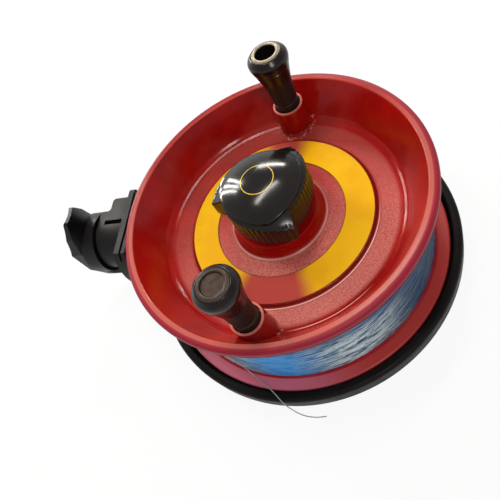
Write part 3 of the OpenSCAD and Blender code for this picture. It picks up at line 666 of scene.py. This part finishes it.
@dataclass(frozen=True)
class GripMoulding(Moulding):
    """Dark plastic of a grip, with a worn or dusty top round its own axis."""

    centre: Span = middle_of("handle_grip_a")
    top: float = GRIP_TOP
    top_colour: Colour = srgb(206, 190, 156)
    top_reach: Ramp = (6.6 * MM, 7.1 * MM, 1.0, 0.0)
    top_depths: Span = (0.9 * MM, 0.4 * MM)
    top_share: float = 0.85
    patch_scale: float = 420
    patches: Ramp = (0.3, 0.6, 0.55, 1.0)
    neck: Ramp = (GRIP_TOP - 18 * MM, GRIP_TOP - 15 * MM, 0.28, 0.0)

    def colours(self, pad: Pad) -> Socket:
        """Add the top's own colour to the plain moulding.

        Args:
            pad: the material under way.

        Returns:
            The colour's socket.
        """
        near = pad.span(pad.reach(*self.centre), *self.top_reach)
        high = pad.span(pad.height(), *(self.top - depth for depth in self.top_depths), 0.0, self.top_share)
        patches = pad.span(pad.noise(self.patch_scale, 4), *self.patches)
        return pad.mix(pad.times(near, high, patches), super().colours(pad), self.top_colour)

    def roughness(self, pad: Pad) -> Socket:
        """Give the roughness, dull below the head."""
        return self.dulled(pad, self.neck)


@dataclass(frozen=True)
class KnobMoulding(Moulding):
    """Gloss black of the knob, browner and duller down its skirt, the brown a painted reflection of the
    yellow label.
    """

    # Brown painted on the skirt as the reflection of the yellow label
    skirt: Colour = srgb(52, 26, 8)
    skirt_reflection: Ramp = (SKIRT_TOP - 3 * MM, SKIRT_TOP, 0.7, 0.0)
    skirt_dull: Ramp = (SKIRT_TOP - 2 * MM, SKIRT_TOP, 0.26, 0.0)

    def colours(self, pad: Pad) -> Socket:
        """Add the skirt's brown, a painted reflection of the yellow label, to the plain moulding."""
        return pad.mix(pad.span(pad.height(), *self.skirt_reflection), super().colours(pad), self.skirt)

    def roughness(self, pad: Pad) -> Socket:
        """Give the roughness, dull down the skirt."""
        return self.dulled(pad, self.skirt_dull)


@dataclass(frozen=True)
class LabelPrint:
    """Printed ring: two yellow arcs that fade into the red below, with a thin dark line inside."""

    name: str = "label_print"
    yellow: Colour = srgb(230, 176, 0)
    amber: Colour = srgb(224, 164, 0)
    amber_scale: float = 60
    red: Colour = srgb(170, 62, 52)
    fades: tuple[Band, Band] = (
        (77 * DEG, 103 * DEG, 7 * DEG),
        (-114 * DEG, -67 * DEG, 7 * DEG),
    )
    line: Colour = srgb(70, 34, 10)
    line_reach: Ramp = (32.825 * MM, 33.05 * MM, 0.85, 0.0)
    worn_scale: float = 500
    worn: Ramp = (0.66, 0.76, 0.0, 0.2)
    gloss: Span = (0.38, 0.5)
    gloss_scale: float = 120
    specular: float = 0.08
    skin_scale: float = 1800

    def material(self) -> bpy.types.Material:
        """Build the material from the turn round the axis and the distance from it.

        Returns:
            The material.
        """
        pad = Pad(self.name)
        ink = pad.mix(pad.span(pad.noise(self.amber_scale, 4), *MARKED), self.yellow, self.amber)
        colour = pad.mix(pad.most(*(pad.band(pad.turn(), *fade) for fade in self.fades)), ink, self.red)
        colour = pad.mix(pad.span(pad.reach(), *self.line_reach), colour, self.line)
        colour = pad.mix(pad.span(pad.noise(self.worn_scale, 4), *self.worn), colour, self.red)
        pad.set(base_color=colour, roughness=pad.span(pad.noise(self.gloss_scale, 4), *GENTLE, *self.gloss))
        pad.set(specular_ior_level=self.specular, normal=pad.bump(pad.noise(self.skin_scale, 2), SKIN_DEPTH))
        return pad.material


@dataclass(frozen=True)
class NylonLine:
    """Blue nylon line: streaks along the strands, with painted light in turn round the spool: sky blue where
    lit, a white sheen with glints, slate elsewhere, and a painted shadow at the top under the lip.
    """

    name: str = "nylon_line"
    slate: Colour = srgb(44, 68, 94)
    # Deep blue of the darker streaks, and of the painted shadow under the lip
    deep: Colour = srgb(24, 66, 116)
    # Sky blue painted where the line is lit
    sky: Colour = srgb(56, 164, 238)
    bright: Colour = srgb(36, 128, 212)
    # White of the painted sheen and glints
    pale: Colour = srgb(216, 234, 240)
    # Painted light by turn: brighter blue in this span, a white sheen with glints in the next two
    lit_turns: Band = (-102 * DEG, -76 * DEG, 14 * DEG)
    sheen_turns: Band = (-74 * DEG, -44 * DEG, 14 * DEG)
    far_sheen_turns: Band = (-150 * DEG, -104 * DEG, 14 * DEG)
    far_sheen_share: float = 0.7
    # Painted shadow of the lip: darker towards the top of the winding
    shaded: Ramp = (33.0 * MM, 42.0 * MM, 0.0, 0.8)
    shaded_sky: Ramp = (0.0, 1.0, 1.0, 0.3)
    streak_scale: float = 34.0
    streaks: Ramp = (0.35, 0.55)
    glints: Ramp = (0.42, 0.54)
    glint_least: float = 0.08
    gloss: float = 0.26
    specular: float = 0.3
    skin_scale: float = 3000

    def tone(self, pad: Pad) -> Socket:
        """Lay a noise that is drawn out along each strand and differs from strand to strand."""
        place = {0: pad.times(pad.attribute("along"), self.streak_scale), 1: pad.attribute("strand")}
        return pad.noise(1.0, 4, pad.add("CombineXYZ", place).outputs[0])

    def material(self) -> bpy.types.Material:
        """Build the material from the painted light by turn, the painted shadow by height and the streaks.

        Returns:
            The material.
        """
        pad = Pad(self.name)
        tone, turn = self.tone(pad), pad.turn()
        # Painted light and sheen by turn round the spool
        sky, far = pad.band(turn, *self.lit_turns), pad.band(turn, *self.far_sheen_turns)
        dark, light = pad.mix(sky, self.deep, self.bright), pad.mix(sky, self.slate, self.sky)
        body = pad.mix(pad.span(tone, *self.streaks), dark, light)
        pale = pad.most(pad.band(turn, *self.sheen_turns), pad.times(far, self.far_sheen_share))
        share = pad.math("ADD", pad.times(pale, 1 - self.glint_least), self.glint_least)
        body = pad.mix(pad.times(pad.span(tone, *self.glints), share), body, self.pale)
        # Painted shadow under the lip
        lip_shadow = pad.times(pad.span(pad.height(), *self.shaded), pad.span(sky, *self.shaded_sky))
        pad.set(base_color=pad.mix(lip_shadow, body, self.deep), roughness=self.gloss)
        pad.set(specular_ior_level=self.specular, normal=pad.bump(pad.noise(self.skin_scale, 2), SKIN_DEPTH))
        return pad.material


@dataclass(frozen=True)
class Metal:
    """Bare metal with turning marks, finest along the axis, and a dull film."""

    name: str
    colour: Colour
    film_colour: Colour
    film_scale: float = 160
    film: Ramp = (0.45, 0.7, 0.0, 0.6)
    gloss: Span = (0.22, 0.42)
    turning: Spot = (30.0, 30.0, 1500.0)

    def material(self) -> bpy.types.Material:
        """Build the material.

        Returns:
            The material.
        """
        pad = Pad(self.name)
        place = pad.add("Mapping", {"Vector": pad.place, "Scale": self.turning}).outputs["Vector"]
        marks = pad.noise(1.0, 3, place)
        film = pad.span(pad.noise(self.film_scale, 5), *self.film)
        pad.set(base_color=pad.mix(film, self.colour, self.film_colour), metallic=1.0)
        pad.set(roughness=pad.span(marks, *GENTLE, *self.gloss), normal=pad.bump(marks, SKIN_DEPTH))
        return pad.material


class Finish(Enum):
    """Every finish of the reel."""

    RED = DishMoulding(
        "red_glassfibre", srgb(158, 16, 10), srgb(140, 9, 7), srgb(216, 168, 148), dusting=0.05,
        gloss=(0.13, 0.2), specular=0.16, skin_depth=0.012 * MM,
    )
    FLANGE = FlangeMoulding(
        "red_flange", srgb(186, 38, 54), srgb(170, 28, 42), srgb(216, 160, 160), gloss=(0.34, 0.46),
        specular=0.3,
    )
    BLACK = Moulding(
        "black_plastic", srgb(26, 23, 23), srgb(17, 15, 15), srgb(84, 76, 68), gloss=(0.36, 0.5),
        specular=0.08,
    )
    LEG = Moulding(
        "leg_plastic", srgb(32, 28, 26), srgb(23, 22, 23), srgb(80, 70, 62), gloss=(0.4, 0.55),
        specular=0.18,
    )
    FOOT = Moulding(
        "foot_plastic", srgb(12, 9, 11), srgb(8, 6, 8), srgb(60, 56, 58), dusting=0.04, gloss=(0.36, 0.5),
        specular=0.25,
    )
    GRIP_A = GripMoulding(
        "grip_worn", srgb(28, 16, 15), srgb(18, 11, 10), srgb(120, 100, 84), gloss=(0.18, 0.3),
        specular=0.28,
    )
    GRIP_B = GripMoulding(
        "grip_dusty", srgb(28, 18, 16), srgb(18, 12, 10), srgb(120, 100, 84), gloss=(0.18, 0.3),
        specular=0.28, centre=middle_of("handle_grip_b"), top=top_of("handle_plug_b"),
        top_colour=srgb(84, 68, 56), top_share=0.8,
    )
    GLOSS = KnobMoulding(
        "knob_gloss", srgb(24, 18, 15), srgb(15, 12, 10), srgb(80, 70, 64), dusting=0.05, gloss=(0.1, 0.18),
        specular=0.4,
    )
    RING = Moulding(
        "ring_yellow", srgb(240, 208, 40), srgb(226, 186, 30), srgb(246, 226, 140), gloss=(0.2, 0.3),
    )
    LABEL = LabelPrint()
    LINE = NylonLine()
    LOOSE = Moulding(
        "loose_nylon", srgb(186, 184, 184), srgb(152, 152, 158), srgb(224, 224, 224), gloss=(0.2, 0.3),
        cloud_scale=200,
    )
    NYLON = Moulding(
        "nylon_white", srgb(214, 208, 192), srgb(196, 188, 170), srgb(150, 140, 122), gloss=(0.35, 0.5),
    )
    FIBRE = Moulding(
        "fibre_brown", srgb(96, 62, 40), srgb(74, 46, 30), srgb(140, 108, 82), gloss=(0.6, 0.8),
        skin_depth=0.05 * MM,
    )
    STEEL = Metal("steel", srgb(186, 186, 184), srgb(120, 116, 110))
    BRASS = Metal("brass", srgb(206, 164, 88), srgb(140, 102, 52))

    @cache
    def material(self) -> bpy.types.Material:
        """Build the finish's material once and give the same one from then on."""
        return self.value.material()


class Slot(Enum):
    """The record's material slots, one named for each new piece."""

    GLOSS = "gloss_black"
    LABEL = "label_yellow"
    LINE = "line_blue"


class Body(Enum):
    """The bodies that new pieces ride on."""

    FRAME = "frame"
    SPOOL = "spool"
    KNOB = "knob"


def settle(piece: bpy.types.Object, finish: Finish, body: Body, slot: Slot, *nodes: str) -> None:
    """Give a new piece its finish and the body that it rides on, and hide the nodes that it stands for.

    Args:
        piece: the new piece.
        finish: its finish.
        body: the body that carries it.
        slot: the record's slot of that finish; not used.
        nodes: the CAD nodes that it replaces, if any.
    """
    piece.data.materials.append(finish.material())
    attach(piece, body.value)
    if nodes:
        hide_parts(*nodes)


def dress(finish: Finish, *nodes: str) -> None:
    """Put a finish on CAD nodes.

    Args:
        finish: the finish.
        nodes: the names of the nodes.
    """
    for name in nodes:
        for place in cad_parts[name].material_slots:
            place.material = finish.material()
        LOG.info("%s: %s", name, finish.value.name)


def stand(name: str, data: bpy.types.ID, place: Spot, axes: Sequence[Sequence[float]]) -> bpy.types.Object:
    """Stand a camera or a lamp in the scene.

    Args:
        name: its name.
        data: the camera's or the lamp's own data.
        place: where it stands.
        axes: the directions of its right, its top and its back.

    Returns:
        The object.
    """
    thing = bpy.data.objects.new(name, data)
    thing.matrix_world = Matrix.Translation(place) @ Matrix(axes).transposed().to_4x4()
    bpy.context.scene.collection.objects.link(thing)
    return thing


@dataclass(frozen=True)
class Lamp:
    """A rectangular lamp that faces the object, its sides in metres and its power in watts."""

    name: str
    place: Spot
    along: Spot
    sides: Span
    power: float
    colour: Colour = srgb(255, 250, 243)
    aim: Spot = (0.0, 0.0, 0.03)

    def hang(self) -> None:
        """Hang the lamp, with its first side as near its own direction as facing the object allows."""
        data = bpy.data.lights.new(self.name, "AREA")
        data.shape, data.size, data.size_y = "RECTANGLE", *self.sides
        data.energy, data.color = self.power, self.colour[:3]
        back = (Vector(self.place) - Vector(self.aim)).normalized()
        side = (Vector(self.along) - back * Vector(self.along).dot(back)).normalized()
        stand(self.name, data, self.place, (side, back.cross(side), back))


@dataclass
class Studio:
    """The camera, a pale floor, soft lamps, a window of narrow panes and a white surround."""

    eye: Spot = (83.13 * MM, -136.70 * MM, 249.27 * MM)
    right: Spot = (0.9237, 0.1127, -0.3662)
    up: Spot = (0.0790, 0.8792, 0.4699)
    back: Spot = (0.3749, -0.4629, 0.8032)
    lens: float = 38.32
    sensor: float = 36.0
    clip_start: float = 0.01
    floor_half: float = 4.0
    floor_drop: float = 0.2 * MM
    floor_colour: Colour = srgb(240, 240, 240)
    floor_roughness: float = 0.9
    floor_specular: float = 0.1
    floor_glow: float = 0.9
    ambient: float = 0.36
    overhead: Ramp = (0.15, 0.5, 1.0, 0.45)
    lamps: tuple[Lamp, ...] = (
        Lamp("strip_lamp", (-0.09, 0.19, 0.78), (-0.64, -0.77, 0.0), (0.5, 0.05), 2.2),
        Lamp("back_lamp", (-0.1, 0.66, 0.48), (1.0, 0.0, 0.0), (0.36, 0.06), 2.3),
        Lamp("front_lamp", (0.24, -0.32, 0.58), (1.0, 0.0, 0.0), (0.12, 0.06), 1.1),
    )
    window: Spot = (-0.74, 0.52, 0.44)
    pane_way: Spot = (0.58, 0.82, 0.0)
    pane_shifts: Spot = (-0.09, 0.0, 0.09)
    pane_sides: Span = (0.5, 0.03)
    pane_power: float = 2.1

    def camera(self) -> None:
        """Set the camera where the photograph was taken from."""
        data = bpy.data.cameras.new("camera")
        data.lens, data.sensor_width, data.clip_start = self.lens, self.sensor, self.clip_start
        bpy.context.scene.camera = stand("camera", data, self.eye, (self.right, self.up, self.back))

    def surround(self) -> None:
        """Make the world white to the eye, dimmer overhead, and a plain grey light to the object."""
        world = bpy.data.worlds.new("surround")
        bpy.context.scene.world = world
        world.use_nodes = True
        nodes = Nodes(world.node_tree)
        light = nodes.tree.nodes["Background"]
        nodes.feed(light.inputs["Color"], WHITE)
        nodes.feed(light.inputs["Strength"], self.ambient)
        way = nodes.add("SeparateXYZ", {0: nodes.add("TexCoord", {}).outputs["Generated"]}).outputs
        white = nodes.add("Background", {"Color": WHITE, "Strength": nodes.span(way[2], *self.overhead)})
        nodes.show("World Output", nodes.seen(), light.outputs[0], white.outputs[0])

    def floor(self) -> None:
        """Lay a pale floor that glows a little to the eye and keeps the object's shadow."""
        span = np.array([-self.floor_half, self.floor_half])
        across, along = np.meshgrid(span, span, indexing="ij")
        points = np.stack([across, along, np.full((2, 2), -self.floor_drop)], axis=-1)
        floor = make_object("floor", [Surface(points, wrap_rows=False, wrap_columns=False)])
        pad = Pad("pale_floor")
        pad.set(base_color=self.floor_colour, roughness=self.floor_roughness)
        pad.set(specular_ior_level=self.floor_specular)
        share, glow = pad.times(pad.seen(), self.floor_glow), pad.add("Emission", {})
        pad.show("Material Output", share, pad.shader.outputs[0], glow.outputs[0])
        floor.data.materials.append(pad.material)
        floor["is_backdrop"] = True

    def panes(self) -> list[Lamp]:
        """Set the window's panes side by side.

        Returns:
            One upright lamp per pane.
        """
        places = np.array(self.window) + np.array(self.pane_shifts)[:, None] * np.array(self.pane_way)
        return [
            Lamp(f"window_lamp_{number}", tuple(place), (0.0, 0.0, 1.0), self.pane_sides, self.pane_power)
            for number, place in enumerate(places.tolist())
        ]

    def build(self) -> None:
        """Set up the whole studio."""
        bpy.context.scene.view_settings.view_transform = "Standard"
        self.camera()
        self.surround()
        self.floor()
        for lamp in (*self.lamps, *self.panes()):
            lamp.hang()


@dataclass
class LooseEnd:
    """The line's loose end, from under the last turns over the flange and the rim to the floor."""

    diameter: float = 0.5 * MM
    sides: int = 8
    leg_steps: int = 6
    route: tuple[Spot, ...] = (
        (-32, -63.2, 35), (-26.5, -65.8, 33.2), (-21.6, -67.5, 29.5), (-19.6, -68.2, 22.5),
        (-19.2, -68.6, 16), (-17.2, -70, 11.8), (-13.2, -72.6, 10.6), (-7.7, -76.9, 11.2),
        (-4.4, -79.8, 12.3), (-1.8, -82.3, 10.8), (-0.4, -83.5, 6.4), (0.8, -84, 2.8),
        (3, -85, 0.8), (7, -86.2, 0.4), (12, -86.6, 0.4), (17, -86, 0.4),
    )
    sideways: Spot = (0.62, 0.78, 0.1)

    def build(self) -> None:
        path = spline(np.array(self.route) * MM, self.leg_steps)
        surface = tube(path, self.diameter / 2, self.sides, np.array(self.sideways))
        strand = make_object("loose_end", [surface])
        settle(strand, Finish.LOOSE, Body.FRAME, Slot.LINE, "line_tail")


@dataclass
class LineWinding:
    """The wound line: a dense bed of turns with a few strands that cross it."""

    turns: int = 84
    steps: int = 100
    sides: int = 5
    strand: float = 0.46 * MM
    outer: float = SPOOL_REACH - 6.2 * MM
    low: float = foot_of("spool") + 0.5 * MM
    high: float = SPOOL_TOP - 14.2 * MM
    core_depth: float = 6.0 * MM
    core_drop: float = 9.2 * MM
    core_inset: float = 0.6
    core_round: float = 0.2 * MM
    core_steps: int = 180
    wander: float = 0.09 * MM
    rise_waves: float = 2.3
    rise_drift: float = 40
    depth_waves: Span = (0.37, 3.1)
    turn_shift: float = 1.7
    crossings: int = 16
    cross_sweep: Span = (2.0, 6.0)
    cross_rise: Span = (4 * MM, 12 * MM)
    cross_foot: float = 2 * MM
    cross_head: float = 14 * MM
    cross_ramp: float = 12
    cross_lift: float = 0.45
    cross_sink: float = 0.2
    cross_number: float = 200.0
    cross_shift: float = 3.1
    seed: int = 11

    def strand_surface(self, turn: Array, height: Array, radius: Array, shade: Array) -> Surface:
        """Carry a strand's circle round the axis: x, y = radius (cos, sin) of the turn, at the height given.

        Args:
            turn: the angle at each station.
            height: the height at each station.
            radius: the distance from the axis at each station.
            shade: a number that sets each turn's streaks apart from its neighbours'.

        Returns:
            The strand's surface, with how far along it lies and its number.
        """
        outward, path = (carried(turn, [station])[:, 0] for station in ((1.0, 0.0), (radius, height)))
        surface = tube(path, self.strand / 2, self.sides, outward)
        columns = {"along": turn / FULL_TURN, "strand": shade}
        for key, values in columns.items():
            surface.values[key] = np.repeat(np.pad(values, 1, mode="edge")[:, None], self.sides, axis=1)
        return surface

    def bed(self) -> Surface:
        """Wind one helix from the rear flange to the lip: it climbs with the turn and wanders a little.

        Returns:
            The helix's surface.
        """
        turn = np.linspace(0, FULL_TURN * self.turns, self.turns * self.steps)
        part = turn / turn[-1]
        sway = np.sin(turn * self.rise_waves + self.rise_drift * part)
        swell = np.sin(turn * self.depth_waves[0]) * np.sin(turn * self.depth_waves[1])
        height = self.low + (self.high - self.low) * part + self.wander * sway
        radius = self.outer - self.strand / 2 + self.wander * swell
        return self.strand_surface(turn, height, radius, turn / FULL_TURN * self.turn_shift)

    def crossing(self, draw: np.random.Generator, number: int) -> Surface:
        """Lay one strand across the bed: a part turn on top of it whose height runs evenly from end to end.

        Args:
            draw: the seeded numbers.
            number: the strand's place in the row.

        Returns:
            The strand's surface.
        """
        start, sweep = draw.uniform(0, FULL_TURN), draw.uniform(*self.cross_sweep)
        low = draw.uniform(self.low + self.cross_foot, self.high - self.cross_head)
        rise = draw.uniform(*self.cross_rise)
        turn = np.linspace(start, start + sweep, self.steps)
        part = np.linspace(0, 1, self.steps)
        height = low + rise * (part if draw.uniform() > 0.5 else 1 - part)
        lift = np.minimum(1, self.cross_ramp * np.minimum(part, 1 - part))
        radius = self.outer - self.strand / 2 + self.strand * (self.cross_lift * lift - self.cross_sink)
        shade = np.full(self.steps, self.cross_number + self.cross_shift * number)
        return self.strand_surface(turn, height, radius, shade)

    def core(self) -> Surface:
        """Fill the inside of the bed by a ring, so that no light passes between the turns.

        Returns:
            The ring's surface, with the values that the strands carry too.
        """
        inner, outer = self.outer - self.core_depth, self.outer - self.core_inset * self.strand
        foot = [[inner, self.low, 0], [outer, self.low, self.core_round]]
        head = [[outer, self.high, self.core_round], [inner, self.high - self.core_drop, 0]]
        surface = lathe(rounded(np.array(foot + head)), self.core_steps)
        rows, columns = surface.points.shape[:2]
        along = np.repeat(np.linspace(0, 1, rows)[:, None], columns, axis=1)
        surface.values = {"along": along, "strand": surface.points[..., 2] / self.strand}
        return surface

    def build(self) -> None:
        """Make the winding and put it in place of its plain solids."""
        draw = np.random.default_rng(self.seed)
        strands = [self.crossing(draw, number) for number in range(self.crossings)]
        winding = make_object("wound_line", [self.core(), self.bed(), *strands], crease=80)
        settle(winding, Finish.LINE, Body.SPOOL, Slot.LINE, "line_core", "line_winding")


@dataclass
class StarKnob:
    """The tension knob: a domed three-sided cap over a skirt, with three ribbed lugs that sweep outwards."""

    angle: float = -74.6 * DEG
    steps: int = 240
    base: float = foot_of("star_knob")
    top: float = top_of("star_knob")
    tip: float = 21.5 * MM
    tip_blend: float = 0.3 * MM
    side: float = 19.0 * MM
    dome: float = 6.0 * MM
    dome_rows: int = 15
    edge: float = 0.5 * MM
    cap: float = 65.0 * MM
    cap_slope: float = 0.2 * MM
    skirt_in: float = 0.8 * MM
    skirt_drop: float = 0.3 * MM
    foot: float = 18.6 * MM
    foot_rise: float = 0.4 * MM
    foot_in: float = 0.5 * MM
    cavity: float = 15.2 * MM
    cavity_top: float = foot_of("knob_insert") + 0.05 * MM
    bore: float = reach_of("knob_insert") + 0.06 * MM
    bore_top: float = top_of("knob_insert") + 0.05 * MM
    lug: float = 26.6 * MM
    lug_start: float = 20.0 * MM
    lug_rise: float = 4.5 * MM
    lug_drop: float = 1.2 * MM
    lug_bow: float = 2.4
    lug_turn: float = 21 * DEG
    lug_root: float = 10 * DEG
    lug_inside: float = 16.4 * MM
    lug_round: float = 0.7 * MM
    lug_foot: float = 0.4 * MM
    lug_steps: int = 170
    lug_rows: int = 5
    step_steps: int = 10
    ribs: int = 15
    rib_depth: float = 0.42 * MM
    rib_ramp: float = 3
    ring_radius: float = 7.8 * MM
    ring_width: float = 0.34 * MM
    ring_stand: float = 0.03 * MM
    ring_sink: float = 0.2 * MM
    ring_steps: int = 96

    def dome_height(self, radius: Array) -> Array:
        """Give the height of the cap's dome, a sphere through the crown and the tips."""
        ball = (self.tip**2 + self.dome**2) / 2 / self.dome
        return self.top - ball + np.sqrt(ball**2 - radius**2)

    def outline(self, turn: Array) -> Array:
        """Give the cap's radius at a turn: the least of three bowed sides, blended where two of them meet.

        Args:
            turn: angles round the axis.

        Returns:
            The radius at each angle.
        """
        bow = self.side - self.tip * math.cos(math.pi / 3)
        ball = ((self.tip * math.sin(math.pi / 3)) ** 2 + bow**2) / 2 / bow
        middle = self.angle + math.pi / 3 + np.arange(3)[:, None] * FULL_TURN / 3
        away = turn[None] - middle
        shift = self.side - ball
        sides = shift * np.cos(away) + np.sqrt(ball**2 - (shift * np.sin(away)) ** 2)
        return -self.tip_blend * np.log(np.exp(-sides / self.tip_blend).sum(axis=0))

    def shell(self) -> Surface:
        """Carry the profile round the axis: from the crown over the edge, down the skirt and up inside.

        The cap's stations are shares of its outline, and the skirt's and the inner ones are plain circles.

        Returns:
            The cap's surface.
        """
        turn = np.linspace(0, FULL_TURN, self.steps, endpoint=False)
        cap = self.outline(turn)
        shoulder = cap - self.edge
        drop = self.dome_height(shoulder) - self.edge
        narrow = self.side - self.skirt_in
        rows = [share * shoulder for share in np.linspace(0, 1, self.dome_rows)]
        dome = [(row, self.dome_height(row)) for row in rows]
        bends = QUARTER_BEND[1:]
        brow = [(shoulder + self.edge * math.sin(b), drop + self.edge * math.cos(b)) for b in bends]
        skirt = [
            (cap, self.cap),
            (0.5 * (cap + narrow), self.cap - self.cap_slope),
            (narrow, self.cap - self.skirt_drop),
            (self.foot, self.base + self.foot_rise),
        ]
        inside = [
            (self.foot - self.foot_in, self.base), (self.cavity, self.base),
            (self.cavity, self.cavity_top), (self.bore, self.cavity_top),
            (self.bore, self.bore_top), (0.0, self.bore_top),
        ]
        return Surface(carried(turn, dome + brow + skirt + inside), wrap_columns=False)

    def lug_outline(self) -> tuple[Array, Array]:
        """Give the lugs' outline as turns and radii.

        Each side starts at the inner radius and gains the rest by a power of its share of the sweep; then a
        short step runs straight back in to the next side. Upright ribs thin the side, more towards the apex.

        Returns:
            The turns and the radii, once round the axis.
        """
        sweep = FULL_TURN / 3 - self.lug_root
        share = np.linspace(0, 1, self.lug_steps)
        wave = (0.5 - 0.5 * np.cos(FULL_TURN * self.ribs * share)) ** 2
        rib = wave * self.rib_depth * np.clip(self.rib_ramp * share, 0, 1)
        side = self.lug_start + (self.lug - self.lug_start) * share**self.lug_bow - rib
        step = np.linspace(0, 1, self.step_steps + 1, endpoint=False)[1:]
        back = self.lug + (self.lug_start - self.lug) * step
        turn = np.concatenate([(share - 1) * sweep, step * self.lug_root])
        first = self.angle + self.lug_turn + np.arange(3) * FULL_TURN / 3
        return (first[:, None] + turn).ravel(), np.tile(np.concatenate([side, back]), 3)

    def lugs(self) -> Surface:
        """Raise the lugs as one ring: upright sides, a rounded brow and a top below the cap's dome.

        Returns:
            The ring's surface.
        """
        turn, outer = self.lug_outline()
        low, inner = self.base + self.lug_rise, outer - self.lug_round
        brow = self.dome_height(inner) - self.lug_drop - self.lug_round
        foot = [(self.lug_inside, low), (outer - self.lug_foot, low), (outer, low + self.lug_foot)]
        bends = [(self.lug_round * math.cos(b), self.lug_round * math.sin(b)) for b in QUARTER_BEND]
        edge = [(inner + across, brow + rise) for across, rise in bends]
        shares = np.linspace(0, 1, self.lug_rows + 1)[1:]
        rows = [inner + (self.lug_inside - inner) * share for share in shares]
        top = [(row, self.dome_height(row) - self.lug_drop) for row in rows]
        return Surface(carried(turn, foot + edge + top))

    def ring(self) -> Surface:
        """Lay a thin plain ring on the dome: a flat band whose height follows the sphere.

        Returns:
            The ring's surface.
        """
        half = self.ring_width / 2
        radius = self.ring_radius + np.array([-half, half, half, -half])
        rise = np.repeat([self.ring_stand, -self.ring_sink], 2)
        return lathe(np.stack([radius, self.dome_height(radius) + rise], axis=1), self.ring_steps)

    def build(self) -> None:
        """Make the knob in place of its plain solid, and the ring on it."""
        knob = make_object("star_knob_cap", [self.shell(), self.lugs()], crease=32)
        settle(knob, Finish.GLOSS, Body.KNOB, Slot.GLOSS, "star_knob")
        ring = make_object("knob_ring", [self.ring()])
        settle(ring, Finish.RING, Body.KNOB, Slot.LABEL)
        dress(Finish.BRASS, "knob_insert", "thrust_collar")


@dataclass
class SpoolDish:
    """The spool: its red dish and rear flange, the printed ring and the parts that turn in it."""

    def build(self) -> None:
        """Dress the spool's nodes."""
        dress(Finish.RED, "spool")
        dress(Finish.FLANGE, "spool_flange")
        dress(Finish.LABEL, "label_ring")
        dress(Finish.BRASS, "rear_bush", "front_bush")
        dress(Finish.FIBRE, "friction_washer")


@dataclass
class BackPlate:
    """The black back plate with its rim and the fixed spindle's parts."""

    def build(self) -> None:
        """Dress the plate, the spindle and what is stacked on it."""
        dress(Finish.BLACK, "back_plate")
        dress(Finish.STEEL, "spindle", "spindle_washer", "pressure_plate", "disc_springs")
        dress(Finish.BRASS, "spindle_nut")
        dress(Finish.NYLON, "thrust_washer")


@dataclass
class Grips:
    """The two turned handles with their screws, bushes and washers."""

    def build(self) -> None:
        """Dress the handles."""
        dress(Finish.GRIP_A, "handle_grip_a")
        dress(Finish.GRIP_B, "handle_grip_b", "handle_plug_b")
        dress(Finish.NYLON, "handle_bush_a", "handle_bush_b")
        dress(Finish.NYLON, "handle_washers_a", "handle_washers_b")
        dress(Finish.BRASS, "handle_insert_a", "handle_insert_b")
        dress(Finish.STEEL, "handle_screw_a", "handle_screw_b")


@dataclass
class LegAndFoot:
    """The leg, the swivelling foot and the parts that hold it."""

    def build(self) -> None:
        """Dress the leg and the foot."""
        dress(Finish.LEG, "leg_bracket")
        dress(Finish.FOOT, "reel_foot")
        dress(Finish.STEEL, "bracket_screws", "stop_pin")
        dress(Finish.STEEL, "swivel_bolt", "swivel_springs", "swivel_nut")
        dress(Finish.BRASS, "swivel_bush")
        dress(Finish.NYLON, "swivel_washer")


def main() -> None:
    """Build the studio, the cord and every sub-assembly."""
    logging.basicConfig(level=logging.INFO, format="%(name)s: %(message)s")
    Studio().build()
    for part in (LooseEnd(), LineWinding(), SpoolDish(), BackPlate(), StarKnob(), Grips(), LegAndFoot()):
        part.build()
    boxes = {"cad": CAD_BOX, "visual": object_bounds()}
    json.dumps({key: [list(corner) for corner in box] for key, box in boxes.items()})


if __name__ == "__main__":
    main()
